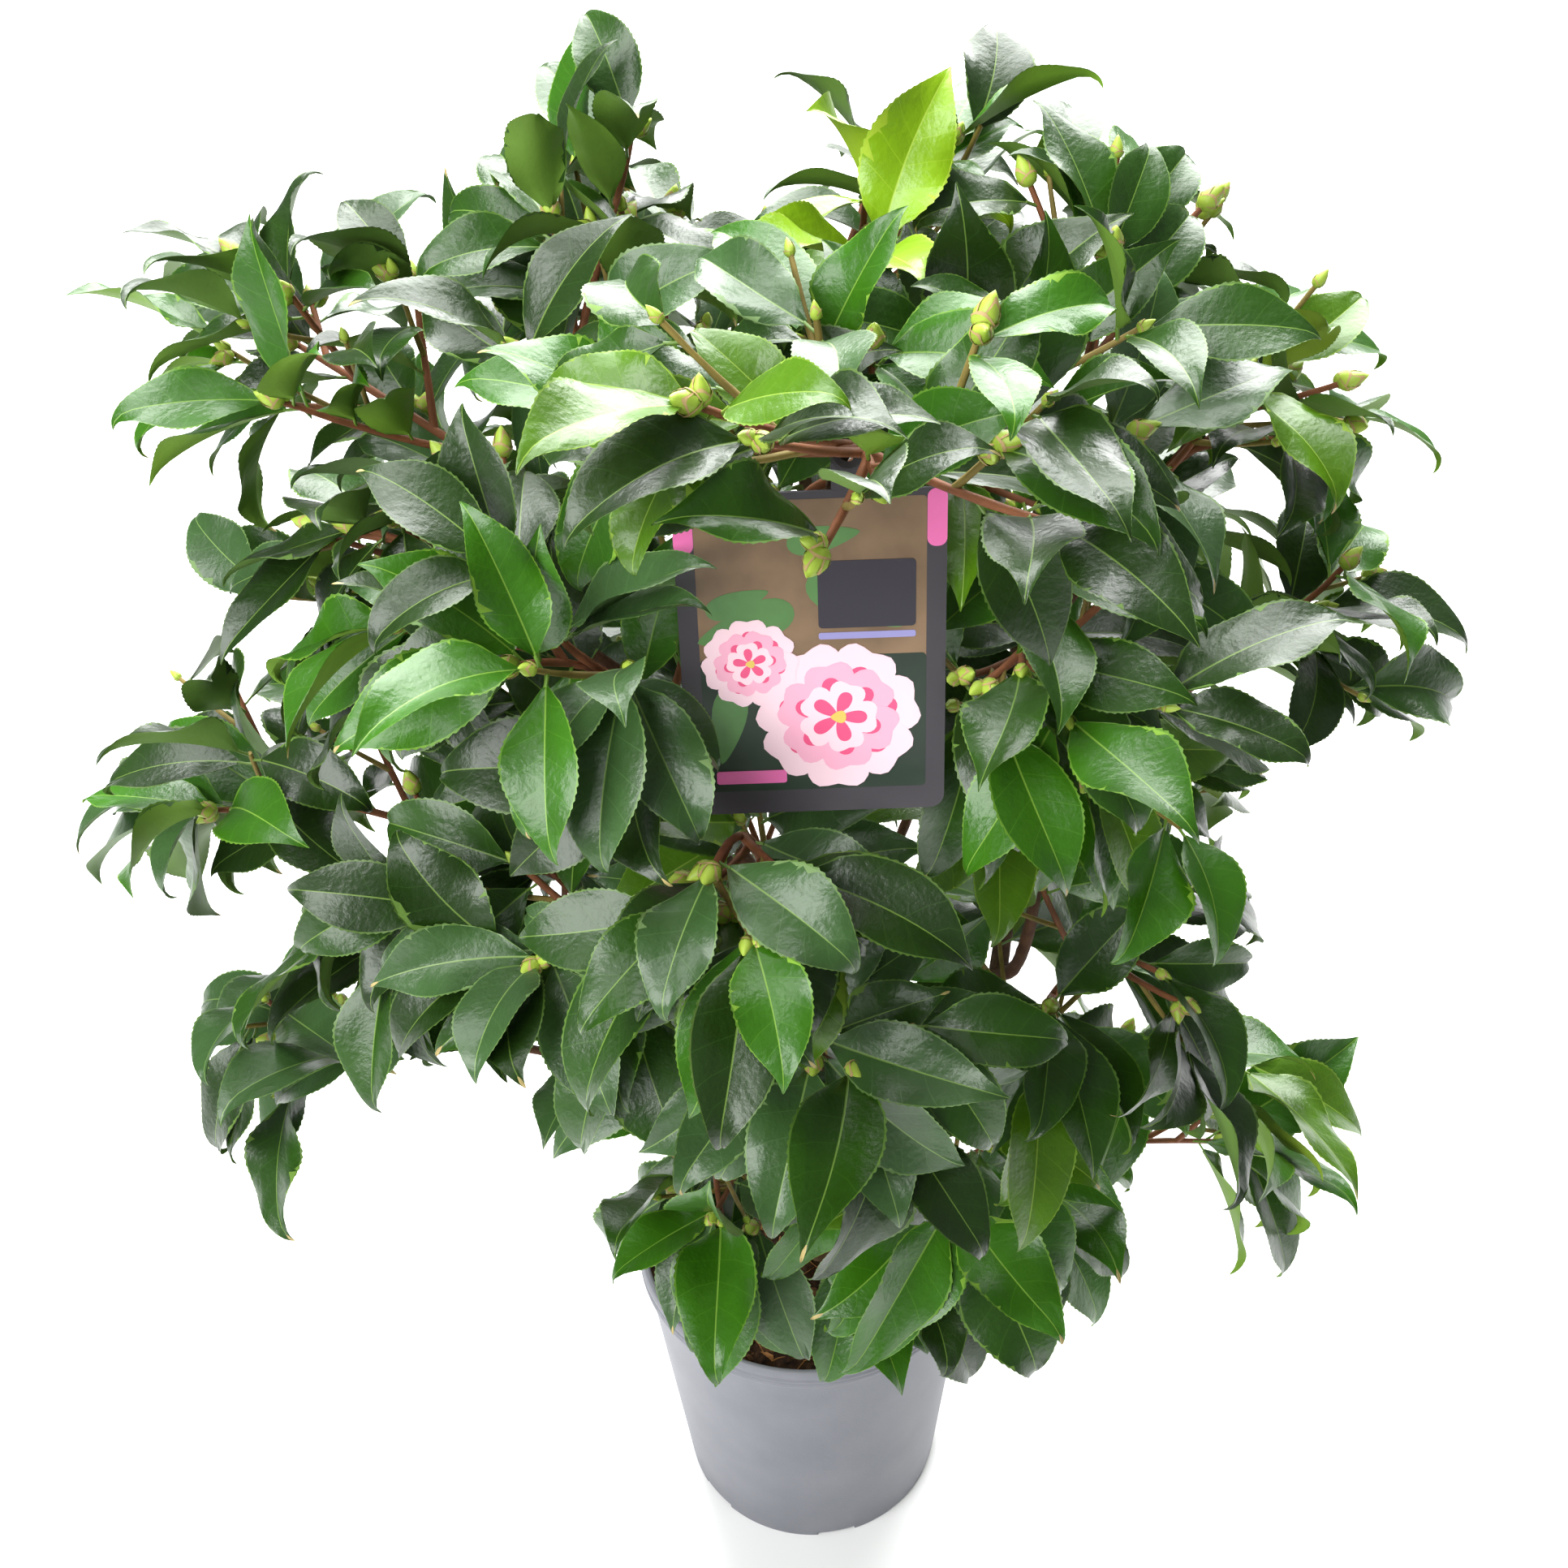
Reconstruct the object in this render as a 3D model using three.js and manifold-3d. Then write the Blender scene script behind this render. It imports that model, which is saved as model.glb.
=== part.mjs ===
// Camellia shrub growing in a round nursery pot, with a hanging picture label.
// Millimetres and degrees; +Z is up, the front of the plant looks along -Y,
// and the origin is the middle of the pot's flat underside.
import * as THREE from 'three';
import Module from 'manifold-3d';

const kernel = await Module();
kernel.setup();
const { Manifold, Mesh: KernelMesh } = kernel;

// ---------------------------------------------------------------- sizes
const GAP = 0.3;

const POT = { foot: 76, neck: 92.4, rim: 95, height: 200, lip: 14, wall: 2, base: 2.5, sides: 36 };
const NOTCH = { count: 6, first: 279, width: 23, height: 4, depth: 9 };
const SOIL = { top: 182, edge: 178.5, flat: 40 };

const TRUNK = {
  foot: [12, 1],
  top: [25, -4, 286],
  leaves: [0, 0, 34],
  arrives: [6, -2, 30],
  radius: 8.2,
  topRadius: 6.6,
  flare: 6.4,
  flareHeight: 20,
  sides: 10,
  steps: 9,
};

// Leader stems: place on the trunk, bearing and reach of the tip from the pot's axis,
// height of the tip, radii at the two ends.
const STEMS = [
  { name: 'left', at: 1, bearing: 205, reach: 70, height: 706, radius: 6, tip: 2.6, lift: 62 },
  { name: 'right', at: 0.84, bearing: 350, reach: 112, height: 722, radius: 5.6, tip: 2.6, lift: 74 },
  { name: 'back', at: 0.68, bearing: 82, reach: 62, height: 706, radius: 5.2, tip: 2.6, lift: 80 },
  { name: 'front', at: 0.52, bearing: 272, reach: 60, height: 700, radius: 5, tip: 2.6, lift: 72 },
];

// Shoots: the stem each one leaves and how far up it, the bearing, reach and height of its
// leading tip, the rise of that tip above level, and the share of its way that is bare bough.
const SHOOTS = [
  ['low_left', 'trunk', 0.9, 192, 250, 426, 4, 0.66],
  ['low_right', 'trunk', 0.4, 352, 214, 300, 4, 0.52],
  ['low_front_right', 'trunk', 0.3, 304, 128, 356, 10, 0.42],
  ['low_front_left', 'trunk', 0.62, 226, 94, 330, 2, 0.38],
  ['low_back', 'back', 0.12, 104, 178, 410, 8, 0.5],
  ['mid_front_left', 'left', 0.22, 240, 194, 588, 14, 0.5],
  ['mid_left_low', 'left', 0.3, 200, 196, 538, 8, 0.5],
  ['mid_left_far', 'left', 0.42, 181, 266, 546, 6, 0.58],
  ['mid_left', 'left', 0.56, 172, 200, 622, 22, 0.5],
  ['mid_right', 'right', 0.5, 359, 222, 616, 8, 0.52],
  ['mid_front_right', 'right', 0.4, 312, 168, 636, 16, 0.5],
  ['mid_right_low', 'right', 0.22, 328, 180, 496, 4, 0.5],
  ['mid_front', 'front', 0.2, 271, 190, 556, 6, 0.5],
  ['front', 'front', 0.44, 262, 204, 664, 12, 0.6],
  ['front_left', 'front', 0.62, 242, 190, 724, 22, 0.5],
  ['upper_left', 'left', 0.72, 194, 168, 698, 24, 0.46],
  ['high_left', 'left', 0.88, 170, 196, 738, 26, 0.5],
  ['top_left', 'left', 1, 160, 86, 774, 70, 0],
  ['top_back_left', 'back', 0.7, 128, 130, 742, 52, 0.5],
  ['top_back', 'back', 1, 50, 80, 772, 64, 0],
  ['top_right', 'right', 1, 9, 130, 776, 62, 0],
  ['high_right', 'right', 0.78, 5, 196, 720, 26, 0.5],
  ['high_front', 'front', 0.9, 278, 188, 800, -4, 0.82],
  ['high_front_right', 'front', 1, 306, 140, 772, 30, 0],
  ['front_right', 'right', 0.6, 294, 184, 716, 14, 0.55],
  ['mid_back_left', 'back', 0.34, 140, 206, 560, 16, 0.5],
  ['mid_back_right', 'back', 0.26, 44, 210, 566, 16, 0.5],
  ['high_back', 'back', 0.56, 92, 170, 664, 26, 0.5],
];

const STEM = { sides: 7, steps: 10 };
const BOUGH = { radius: 3.5, tip: 2, sides: 5, steps: 6 };
const LEADER = { tip: 1.7, sides: 3, steps: 3 };
const TWIG = { count: 4, tries: 4, radius: 2, tip: 1.6, sides: 3, length: 66, angle: 50, rise: 0.22 };
const LEAF = {
  lowLength: 97,
  highLength: 70,
  lowHeight: 320,
  highHeight: 780,
  width: 0.56,
  widest: 0.46,
  thick: 0.03,
  bow: 0.09,
  droop: 0.04,
  sunk: 0.6,
  spacing: 33,
  crowd: 4,
  whorl: 3,
  tries: 7,
};
const GOLDEN = 137.5;
const SEED = 7001;
const CROWN_TOP = 858;

const CARD = {
  hangsFrom: 'high_front',
  along: 0.75,
  width: 88,
  height: 118,
  thick: 1.2,
  corner: 5,
  lean: 10,
  neck: 9,
  tab: 10,
  shift: -12,
  ring: 2.2,
  ringWidth: 5,
};
// How far from its top and its sides the face of the card stays free of each mass's leaves.
const CARD_VIEW = { depth: 90, rise: 0.8, free: { top: 6, side: 6 } };
const OVER_CARD = { high_front: { top: 36, side: 4 }, front_left: { top: 20, side: 24 } };

const COLOUR = {
  pot: 0x9b9da8,
  soil: 0x2b1d12,
  card: 0x3a363c,
  trunk: 0x8a7355,
  stem: 0x5d4531,
  bough: 0x6a4a33,
  leaf: 0x2a5a22,
};

// ---------------------------------------------------------------- small helpers
const V = (x, y, z) => new THREE.Vector3(x, y, z);
const UP = V(0, 0, 1);
const rad = THREE.MathUtils.degToRad;

// Point at a bearing (0 along +X, 90 to the back) and reach from the pot's axis.
const placed = (bearing, reach, z) => V(reach * Math.cos(rad(bearing)), reach * Math.sin(rad(bearing)), z);

// Seeded stream of numbers between 0 and 1.
function stream(seed) {
  let state = seed >>> 0;
  return () => {
    state = (state + 0x6d2b79f5) >>> 0;
    let mixed = Math.imul(state ^ (state >>> 15), state | 1);
    mixed = (mixed + Math.imul(mixed ^ (mixed >>> 7), mixed | 61)) ^ mixed;
    return ((mixed ^ (mixed >>> 14)) >>> 0) / 4294967296;
  };
}

// A direction tipped away from an axis by an angle, on the side given by a turn about the axis.
function tipped(axis, turn, angle) {
  const side = V(0, 0, 0).crossVectors(axis, Math.abs(axis.z) > 0.95 ? V(1, 0, 0) : UP).normalize();
  const other = V(0, 0, 0).crossVectors(axis, side);
  const away = side.multiplyScalar(Math.cos(rad(turn))).addScaledVector(other, Math.sin(rad(turn)));
  return axis.clone().multiplyScalar(Math.cos(rad(angle))).addScaledVector(away, Math.sin(rad(angle)));
}

// ---------------------------------------------------------------- solids
// Closed solid from a list of points and a list of triangles.
function closed(points, triangles) {
  const vertProperties = new Float32Array(points.flatMap((p) => [p.x, p.y, p.z]));
  const triVerts = new Uint32Array(triangles.flat());
  return new Manifold(new KernelMesh({ numProp: 3, vertProperties, triVerts }));
}

// Closed solid from a geometry whose seams are welded.
function solidOf(geometry) {
  const position = geometry.getAttribute('position');
  const index = geometry.index ? geometry.index.array : [...Array(position.count).keys()];
  const points = [];
  const seen = new Map();
  const welded = [];
  for (let i = 0; i < position.count; i += 1) {
    const p = V(position.getX(i), position.getY(i), position.getZ(i));
    const key = [p.x, p.y, p.z].map((c) => Math.round(c * 1e4)).join(',');
    if (!seen.has(key)) {
      seen.set(key, points.length);
      points.push(p);
    }
    welded.push(seen.get(key));
  }
  const triangles = [];
  for (let i = 0; i < index.length; i += 3) {
    const [a, b, c] = [welded[index[i]], welded[index[i + 1]], welded[index[i + 2]]];
    if (a !== b && b !== c && c !== a) {
      triangles.push([a, b, c]);
    }
  }
  const solid = closed(points, triangles);
  return solid.volume() > 0 ? solid : closed(points, triangles.map(([a, b, c]) => [a, c, b]));
}

// Solid turned about +Z from a closed profile of [radius, height] pairs.
function turned(profile, sides) {
  const geometry = new THREE.LatheGeometry(profile.map(([r, z]) => new THREE.Vector2(r, z)), sides);
  geometry.rotateX(Math.PI / 2);
  return solidOf(geometry);
}

function box(x, y, z) {
  return solidOf(new THREE.BoxGeometry(x, y, z));
}

// Round tapering limb along a curve from one fraction of it to another.
function limb(curve, from, to, radiusAt, sides, steps) {
  const points = [];
  const triangles = [];
  let side = null;
  for (let i = 0; i <= steps; i += 1) {
    const t = from + ((to - from) * i) / steps;
    const centre = curve.getPoint(t);
    const along = curve.getTangent(t).normalize();
    side = side === null ? V(0, 0, 0).crossVectors(along, Math.abs(along.z) > 0.9 ? V(1, 0, 0) : UP) : side;
    side.addScaledVector(along, -side.dot(along)).normalize();
    const other = V(0, 0, 0).crossVectors(along, side);
    for (let k = 0; k < sides; k += 1) {
      const turn = (2 * Math.PI * k) / sides;
      const radius = radiusAt(i / steps);
      const p = centre.clone().addScaledVector(side, radius * Math.cos(turn));
      points.push(p.addScaledVector(other, radius * Math.sin(turn)));
    }
  }
  for (let i = 0; i < steps; i += 1) {
    for (let k = 0; k < sides; k += 1) {
      const a = i * sides + k;
      const b = i * sides + ((k + 1) % sides);
      triangles.push([a, b, b + sides], [a, b + sides, a + sides]);
    }
  }
  const last = steps * sides;
  for (let k = 1; k < sides - 1; k += 1) {
    triangles.push([0, k + 1, k], [last, last + k, last + k + 1]);
  }
  return closed(points, triangles);
}

// Straight runs between the rings of a limb: the point and the way at a fraction of it.
function chords(curve, from, to, steps) {
  const knots = [...Array(steps + 1).keys()].map((i) => curve.getPoint(from + ((to - from) * i) / steps));
  const span = knots.slice(1).reduce((sum, knot, i) => sum + knot.distanceTo(knots[i]), 0);
  const at = (t) => {
    const i = Math.min(Math.floor(t * steps), steps - 1);
    const point = knots[i].clone().lerp(knots[i + 1], t * steps - i);
    return { point, axis: knots[i + 1].clone().sub(knots[i]).normalize() };
  };
  return { at, span };
}

const taper = (start, end) => (t) => start + (end - start) * t;

// The largest of the separate bodies in a solid.
function largest(solid) {
  return solid.decompose().reduce((best, piece) => (piece.volume() > best.volume() ? piece : best));
}

// ---------------------------------------------------------------- pot and soil
function innerRadius(z) {
  const { foot, neck, height, lip, wall } = POT;
  return foot + ((neck - foot) * Math.min(z, height - lip)) / (height - lip) - wall;
}

function makePot() {
  const { foot, neck, rim, height, lip, base, wall, sides } = POT;
  const under = height - lip;
  const profile = [
    [0, 0],
    [foot - 2, 0],
    [foot, 2],
    [neck, under],
    [rim, under + 1.5],
    [rim, height - 5],
    [rim - 0.7, height - 4.4],
    [rim - 1.4, height],
    [rim - wall, height],
    [innerRadius(under), under - 1],
    [innerRadius(base), base],
    [0, base],
  ];
  let pot = turned(profile, sides);
  for (let i = 0; i < NOTCH.count; i += 1) {
    const notch = box(2 * NOTCH.depth, NOTCH.width, 2 * NOTCH.height).translate([foot, 0, 0]);
    pot = pot.subtract(notch.rotate([0, 0, NOTCH.first + (360 / NOTCH.count) * i]));
  }
  return pot;
}

function makeSoil() {
  const floor = POT.base + GAP;
  const profile = [
    [0, floor],
    [innerRadius(floor) - GAP, floor],
    [innerRadius(SOIL.edge) - GAP, SOIL.edge],
    [(innerRadius(SOIL.edge) + SOIL.flat) / 2, SOIL.edge + 1.6],
    [SOIL.flat, SOIL.top],
    [0, SOIL.top],
  ];
  return turned(profile, POT.sides);
}

// ---------------------------------------------------------------- wood
// Curve of a limb: it leaves its parent between the parent's own way and its tip's bearing,
// and arrives at its tip at a given angle above level.
function limbCurve(start, heading, tip, lift) {
  const span = start.distanceTo(tip);
  const out = V(tip.x - start.x, tip.y - start.y, 0).normalize();
  const leave = heading.clone().multiplyScalar(0.55).addScaledVector(out, 0.75).normalize();
  const arrive = out.multiplyScalar(Math.cos(rad(lift))).addScaledVector(UP, Math.sin(rad(lift)));
  const first = start.clone().addScaledVector(leave, 0.34 * span);
  const second = tip.clone().addScaledVector(arrive, -0.36 * span);
  return new THREE.CubicBezierCurve3(start, first, second, tip);
}

const wood = new Map();
const fat = [];

// A limb is cut clear of every limb made before it and remembered with a slightly fatter copy.
function addLimb(name, curve, from, to, radiusAt, sides, steps) {
  let solid = limb(curve, from, to, radiusAt, sides, steps);
  for (const other of fat) {
    solid = solid.subtract(other);
  }
  fat.push(limb(curve, from, to, (t) => radiusAt(t) + GAP * 1.12, sides, steps));
  wood.set(name, { solid: largest(solid), curve });
}

function growWood() {
  const foot = V(TRUNK.foot[0], TRUNK.foot[1], SOIL.top + GAP);
  const top = V(...TRUNK.top);
  const rising = foot.clone().add(V(...TRUNK.leaves));
  const arriving = top.clone().sub(V(...TRUNK.arrives));
  const bole = new THREE.CubicBezierCurve3(foot, rising, arriving, top);
  const girth = (t) => {
    const height = t * (TRUNK.top[2] - SOIL.top);
    const flare = TRUNK.flare * Math.exp((-3 * height) / TRUNK.flareHeight);
    return taper(TRUNK.radius, TRUNK.topRadius)(t) + flare;
  };
  addLimb('trunk', bole, 0, 1, girth, TRUNK.sides, TRUNK.steps);
  for (const row of STEMS) {
    const start = bole.getPoint(row.at);
    const heading = bole.getTangent(row.at).normalize();
    const end = placed(row.bearing, row.reach, row.height);
    const curve = limbCurve(start, heading, end, row.lift);
    addLimb(row.name, curve, 0, 1, taper(row.radius, row.tip), STEM.sides, STEM.steps);
  }
}

// Every shoot has one curve: bough first, then the leader of its mass of leaves.
function shootCurve(row) {
  const [, parent, at, bearing, reach, height, lift] = row;
  const { curve } = wood.get(parent);
  const start = curve.getPoint(at);
  const heading = curve.getTangent(at).normalize();
  const tip = placed(bearing, reach, height);
  if (at < 1) {
    return limbCurve(start, heading, tip, lift);
  }
  const span = start.distanceTo(tip);
  const arrive = tip.clone().sub(start).setZ(0).normalize().multiplyScalar(Math.cos(rad(lift)));
  arrive.addScaledVector(UP, Math.sin(rad(lift)));
  const first = start.clone().addScaledVector(heading, 0.36 * span);
  return new THREE.CubicBezierCurve3(start, first, tip.clone().addScaledVector(arrive, -0.3 * span), tip);
}

// ---------------------------------------------------------------- picture label
// Places a geometry drawn in the plane of the card, with the hook at its origin.
function hung(geometry, hook) {
  geometry.rotateX(Math.PI / 2 - rad(CARD.lean));
  geometry.translate(hook.x, hook.y, hook.z);
  return geometry;
}

// A stiff card with rounded corners that hangs by a ring from a bough.
function makeCard(curve, share) {
  const { width, height, thick, corner, along, neck, tab, shift, ring, ringWidth } = CARD;
  const { point: hook, axis } = chords(curve, 0, share, BOUGH.steps).at(along / share);
  const inner = taper(BOUGH.radius, BOUGH.tip)(along / share) + 2 * GAP;
  const drop = -neck - inner;
  const [left, right] = [shift - width / 2, shift + width / 2];
  const outline = new THREE.Shape();
  outline.moveTo(left + corner, drop - height);
  outline.lineTo(right - corner, drop - height);
  outline.quadraticCurveTo(right, drop - height, right, drop - height + corner);
  outline.lineTo(right, drop - corner);
  outline.quadraticCurveTo(right, drop, right - corner, drop);
  outline.lineTo(tab / 2, drop);
  outline.lineTo(tab / 2, 0);
  outline.lineTo(-tab / 2, 0);
  outline.lineTo(-tab / 2, drop);
  outline.lineTo(left + corner, drop);
  outline.quadraticCurveTo(left, drop, left, drop - corner);
  outline.lineTo(left, drop - height + corner);
  outline.quadraticCurveTo(left, drop - height, left + corner, drop - height);
  const sheet = new THREE.ExtrudeGeometry(outline, { depth: thick, bevelEnabled: false, curveSegments: 3 });
  sheet.translate(0, 0, -thick / 2);
  const through = (length) => new THREE.LineCurve3(
    hook.clone().addScaledVector(axis, -length / 2),
    hook.clone().addScaledVector(axis, length / 2),
  );
  const loop = limb(through(ringWidth), 0, 1, () => inner + ring, 10, 1);
  const hole = limb(through(4 * ringWidth), 0, 1, () => inner, 10, 1);
  return solidOf(hung(sheet, hook)).add(loop).subtract(hole);
}

// The air in front of the card's face that a mass of leaves keeps out of.
function makeView(curve, share, free) {
  const { width, height, along, neck, shift } = CARD;
  const { depth, rise } = CARD_VIEW;
  const top = -neck - taper(BOUGH.radius, BOUGH.tip)(along / share) - free.top;
  const bottom = top + free.top - height;
  const half = width / 2 - free.side;
  const corners = [-half, half].flatMap((x) => [top, bottom].flatMap((y) => [2, depth].map((z) => (
    [x + shift, y + rise * z, z]
  ))));
  const air = new THREE.BufferGeometry();
  air.setAttribute('position', new THREE.Float32BufferAttribute(corners.flat(), 3));
  air.setIndex([
    0, 1, 3, 0, 3, 2, 4, 6, 7, 4, 7, 5, 0, 4, 5, 0, 5, 1,
    2, 3, 7, 2, 7, 6, 0, 2, 6, 0, 6, 4, 1, 5, 7, 1, 7, 3,
  ]);
  return solidOf(hung(air, curve.getPoint(along)));
}

// ---------------------------------------------------------------- leaves
const leafLength = (z) => {
  const share = THREE.MathUtils.clamp((z - LEAF.lowHeight) / (LEAF.highHeight - LEAF.lowHeight), 0, 1);
  return LEAF.lowLength + (LEAF.highLength - LEAF.lowLength) * share;
};

// Six-faced blade, bowed along its midrib.
function blade(root, way, length, roll) {
  const level = V(0, 0, 0).crossVectors(way, UP);
  const side = (level.length() > 0.2 ? level.normalize() : V(1, 0, 0)).applyAxisAngle(way, roll);
  const face = V(0, 0, 0).crossVectors(side, way).normalize();
  const at = (along, across, above) => root.clone()
    .addScaledVector(way, along * length)
    .addScaledVector(side, across * length)
    .addScaledVector(face, above * length);
  const { width, widest, thick, bow, droop } = LEAF;
  const points = [
    at(-LEAF.sunk / length, 0, 0),
    at(1, 0, -droop),
    at(widest, -width / 2, bow),
    at(widest, width / 2, bow),
    at(widest, 0, bow + thick),
  ];
  const triangles = [
    [0, 3, 4], [3, 1, 4], [1, 2, 4], [2, 0, 4],
    [0, 2, 3], [2, 1, 3],
  ];
  return { points, solid: closed(points, triangles) };
}

const clear = (solid, others, distance) => others.every((other) => solid.minGap(other, distance) >= distance);

// The space of a mass: under the top of the crown, and nearer to its own middle than to
// that of any other mass.
function spaceOf(number, shoots) {
  const { middle } = shoots[number];
  const walls = shoots.filter((shoot, i) => i !== number).map((shoot) => ({
    halfway: middle.clone().add(shoot.middle).multiplyScalar(0.5),
    towards: shoot.middle.clone().sub(middle).normalize(),
  }));
  return (points) => points.every((p) => (
    p.z < CROWN_TOP && walls.every(({ halfway, towards }) => p.clone().sub(halfway).dot(towards) < -GAP)
  ));
}

// One mass: a leader, side twigs by the golden turn, and leaves set along and at the end of each.
function growMass(number, shoots, obstacles) {
  const { leader, run } = shoots[number];
  const random = stream(SEED + 97 * number);
  const inside = spaceOf(number, shoots);
  const twigs = [leader];
  const blades = [];

  function tryLeaf(twig, root, axis, turn, angle) {
    const others = [...blades, ...twigs.filter((other) => other !== twig)];
    for (let k = 0; k < LEAF.tries; k += 1) {
      const way = tipped(axis, turn + 47 * k, angle + 12 * (random() - 0.5));
      way.addScaledVector(UP, -THREE.MathUtils.clamp(0.55 - (root.z - 330) / 1000, 0.08, 0.55)).normalize();
      const length = leafLength(root.z) * (0.88 + 0.24 * random()) * (1 - 0.035 * k);
      const { points, solid } = blade(root, way, length, rad(50 * (random() - 0.5)));
      if (inside(points) && clear(solid, obstacles, 0.7) && clear(solid, others, GAP)) {
        blades.push(solid);
        return;
      }
    }
  }

  function dress(twig, { at, span }, firstAt, phase) {
    const nodes = Math.floor((span * (1 - firstAt) - 12) / LEAF.spacing);
    for (let k = 0; k < nodes; k += 1) {
      const { point, axis } = at(firstAt + ((1 - firstAt) * (k + 0.35)) / (nodes + 0.6));
      tryLeaf(twig, point, axis, phase + GOLDEN * k, 58);
    }
    for (let k = 0; k < LEAF.whorl; k += 1) {
      const { point, axis } = at(1 - (2 + LEAF.crowd * k) / span);
      tryLeaf(twig, point, axis, phase + 40 + (360 / LEAF.whorl) * k, k === 0 ? 20 : 62);
    }
  }

  for (let k = 0; k < TWIG.count; k += 1) {
    const { point: root, axis } = run.at(0.1 + (0.72 * k) / (TWIG.count - 1));
    for (let attempt = 0; attempt < TWIG.tries; attempt += 1) {
      const way = tipped(axis, 60 + GOLDEN * k + 80 * attempt + 30 * number, TWIG.angle);
      way.addScaledVector(UP, TWIG.rise).normalize();
      const length = TWIG.length * (1.1 - 0.14 * k) * (0.85 + 0.3 * random()) * (1 - 0.16 * attempt);
      const line = new THREE.LineCurve3(root, root.clone().addScaledVector(way, length));
      const twig = limb(line, 0, 1, taper(TWIG.radius, TWIG.tip), TWIG.sides, 1);
      if (inside([line.v1, line.v2]) && clear(twig, [...obstacles, ...blades, ...twigs.slice(1)], 0.7)) {
        twigs.push(twig);
        dress(twig, chords(line, 0, 1, 1), 0.2, 90 * k + 35 * number);
        break;
      }
    }
  }
  dress(leader, run, 0.55, 25 * number);
  return largest(Manifold.union([...twigs, ...blades]));
}

// ---------------------------------------------------------------- assembly
function meshOf(name, solid, colour, roughness) {
  const { vertProperties, triVerts, numProp } = solid.getMesh();
  const geometry = new THREE.BufferGeometry();
  const positions = new Float32Array((vertProperties.length / numProp) * 3);
  for (let i = 0; i < positions.length / 3; i += 1) {
    positions.set(vertProperties.subarray(i * numProp, i * numProp + 3), i * 3);
  }
  geometry.setAttribute('position', new THREE.BufferAttribute(positions, 3));
  geometry.setIndex(new THREE.BufferAttribute(new Uint32Array(triVerts), 1));
  geometry.computeVertexNormals();
  const material = new THREE.MeshStandardMaterial({ color: colour, roughness, metalness: 0 });
  const mesh = new THREE.Mesh(geometry, material);
  mesh.name = name;
  return mesh;
}

const plant = new THREE.Group();
plant.name = 'potted_camellia';
const pot = makePot();
const soil = makeSoil();
plant.add(meshOf('pot', pot, COLOUR.pot, 0.6));
plant.add(meshOf('soil', soil, COLOUR.soil, 0.95));

growWood();
const shoots = SHOOTS.map((row) => {
  const [name, parent, , , , , , share] = row;
  const curve = shootCurve(row);
  if (share > 0) {
    addLimb(`bough_${name}`, curve, 0, share, taper(BOUGH.radius, BOUGH.tip), BOUGH.sides, BOUGH.steps);
  }
  const from = share + GAP / curve.getLength();
  const start = share > 0 ? BOUGH.tip : STEMS.find((stem) => stem.name === parent).tip;
  const leader = limb(curve, from, 1, taper(start, LEADER.tip), LEADER.sides, LEADER.steps);
  const run = chords(curve, from, 1, LEADER.steps);
  const middle = curve.getPoint(Math.max(share, 0.6) + 0.2 * (1 - share));
  return { name, share, curve, leader, run, middle };
});
for (const [name, { solid }] of wood) {
  const stem = STEMS.some((row) => row.name === name);
  const colour = name === 'trunk' ? COLOUR.trunk : stem ? COLOUR.stem : COLOUR.bough;
  plant.add(meshOf(stem ? `stem_${name}` : name, solid, colour, 0.85));
}

const hanger = shoots.find(({ name }) => name === CARD.hangsFrom);
const card = makeCard(hanger.curve, hanger.share);
plant.add(meshOf('picture_label', card, COLOUR.card, 0.45));

const limbs = [...wood.values()].map(({ solid }) => solid);
shoots.forEach(({ name }, number) => {
  const leaders = shoots.filter((shoot, i) => i !== number).map(({ leader }) => leader);
  const view = makeView(hanger.curve, hanger.share, OVER_CARD[name] ?? CARD_VIEW.free);
  const obstacles = [pot, soil, card, view, ...limbs, ...leaders];
  plant.add(meshOf(`leaves_${name}`, growMass(number, shoots, obstacles), COLOUR.leaf, 0.5));
});

export default plant;
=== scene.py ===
"""Camellia shrub in a round nursery pot: the visual model, its finish and its studio."""
import math

import bpy
import numpy as np
from mathutils import Matrix
from mathutils.bvhtree import BVHTree


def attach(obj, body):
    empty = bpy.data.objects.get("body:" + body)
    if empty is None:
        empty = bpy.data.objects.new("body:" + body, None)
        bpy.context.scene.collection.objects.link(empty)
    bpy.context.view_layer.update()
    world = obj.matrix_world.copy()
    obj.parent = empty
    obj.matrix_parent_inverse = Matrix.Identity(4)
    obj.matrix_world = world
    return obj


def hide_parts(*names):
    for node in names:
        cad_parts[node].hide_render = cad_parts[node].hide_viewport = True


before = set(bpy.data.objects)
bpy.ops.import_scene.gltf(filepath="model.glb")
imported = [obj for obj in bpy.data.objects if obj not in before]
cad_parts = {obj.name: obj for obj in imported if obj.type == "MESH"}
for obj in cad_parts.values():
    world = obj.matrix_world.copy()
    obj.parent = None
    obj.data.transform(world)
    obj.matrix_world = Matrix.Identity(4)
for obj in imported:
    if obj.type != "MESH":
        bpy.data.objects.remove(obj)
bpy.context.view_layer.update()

# ------------------------------------------------------------------ sizes, millimetres and degrees
GAP = 0.3
UP = np.array([0.0, 0.0, 1.0])
POT = dict(foot=76, neck=92.4, rim=95, height=200, lip=14, wall=2, base=2.5)
NOTCH = dict(count=6, first=279, width=23, height=4, depth=9)
SOIL = dict(top=182, edge=178.5, flat=40)
TRUNK = dict(foot=(12, 1), top=(25, -4, 286), radius=8.2, tip=6.6, flare=6.4, flare_height=20)

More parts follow.
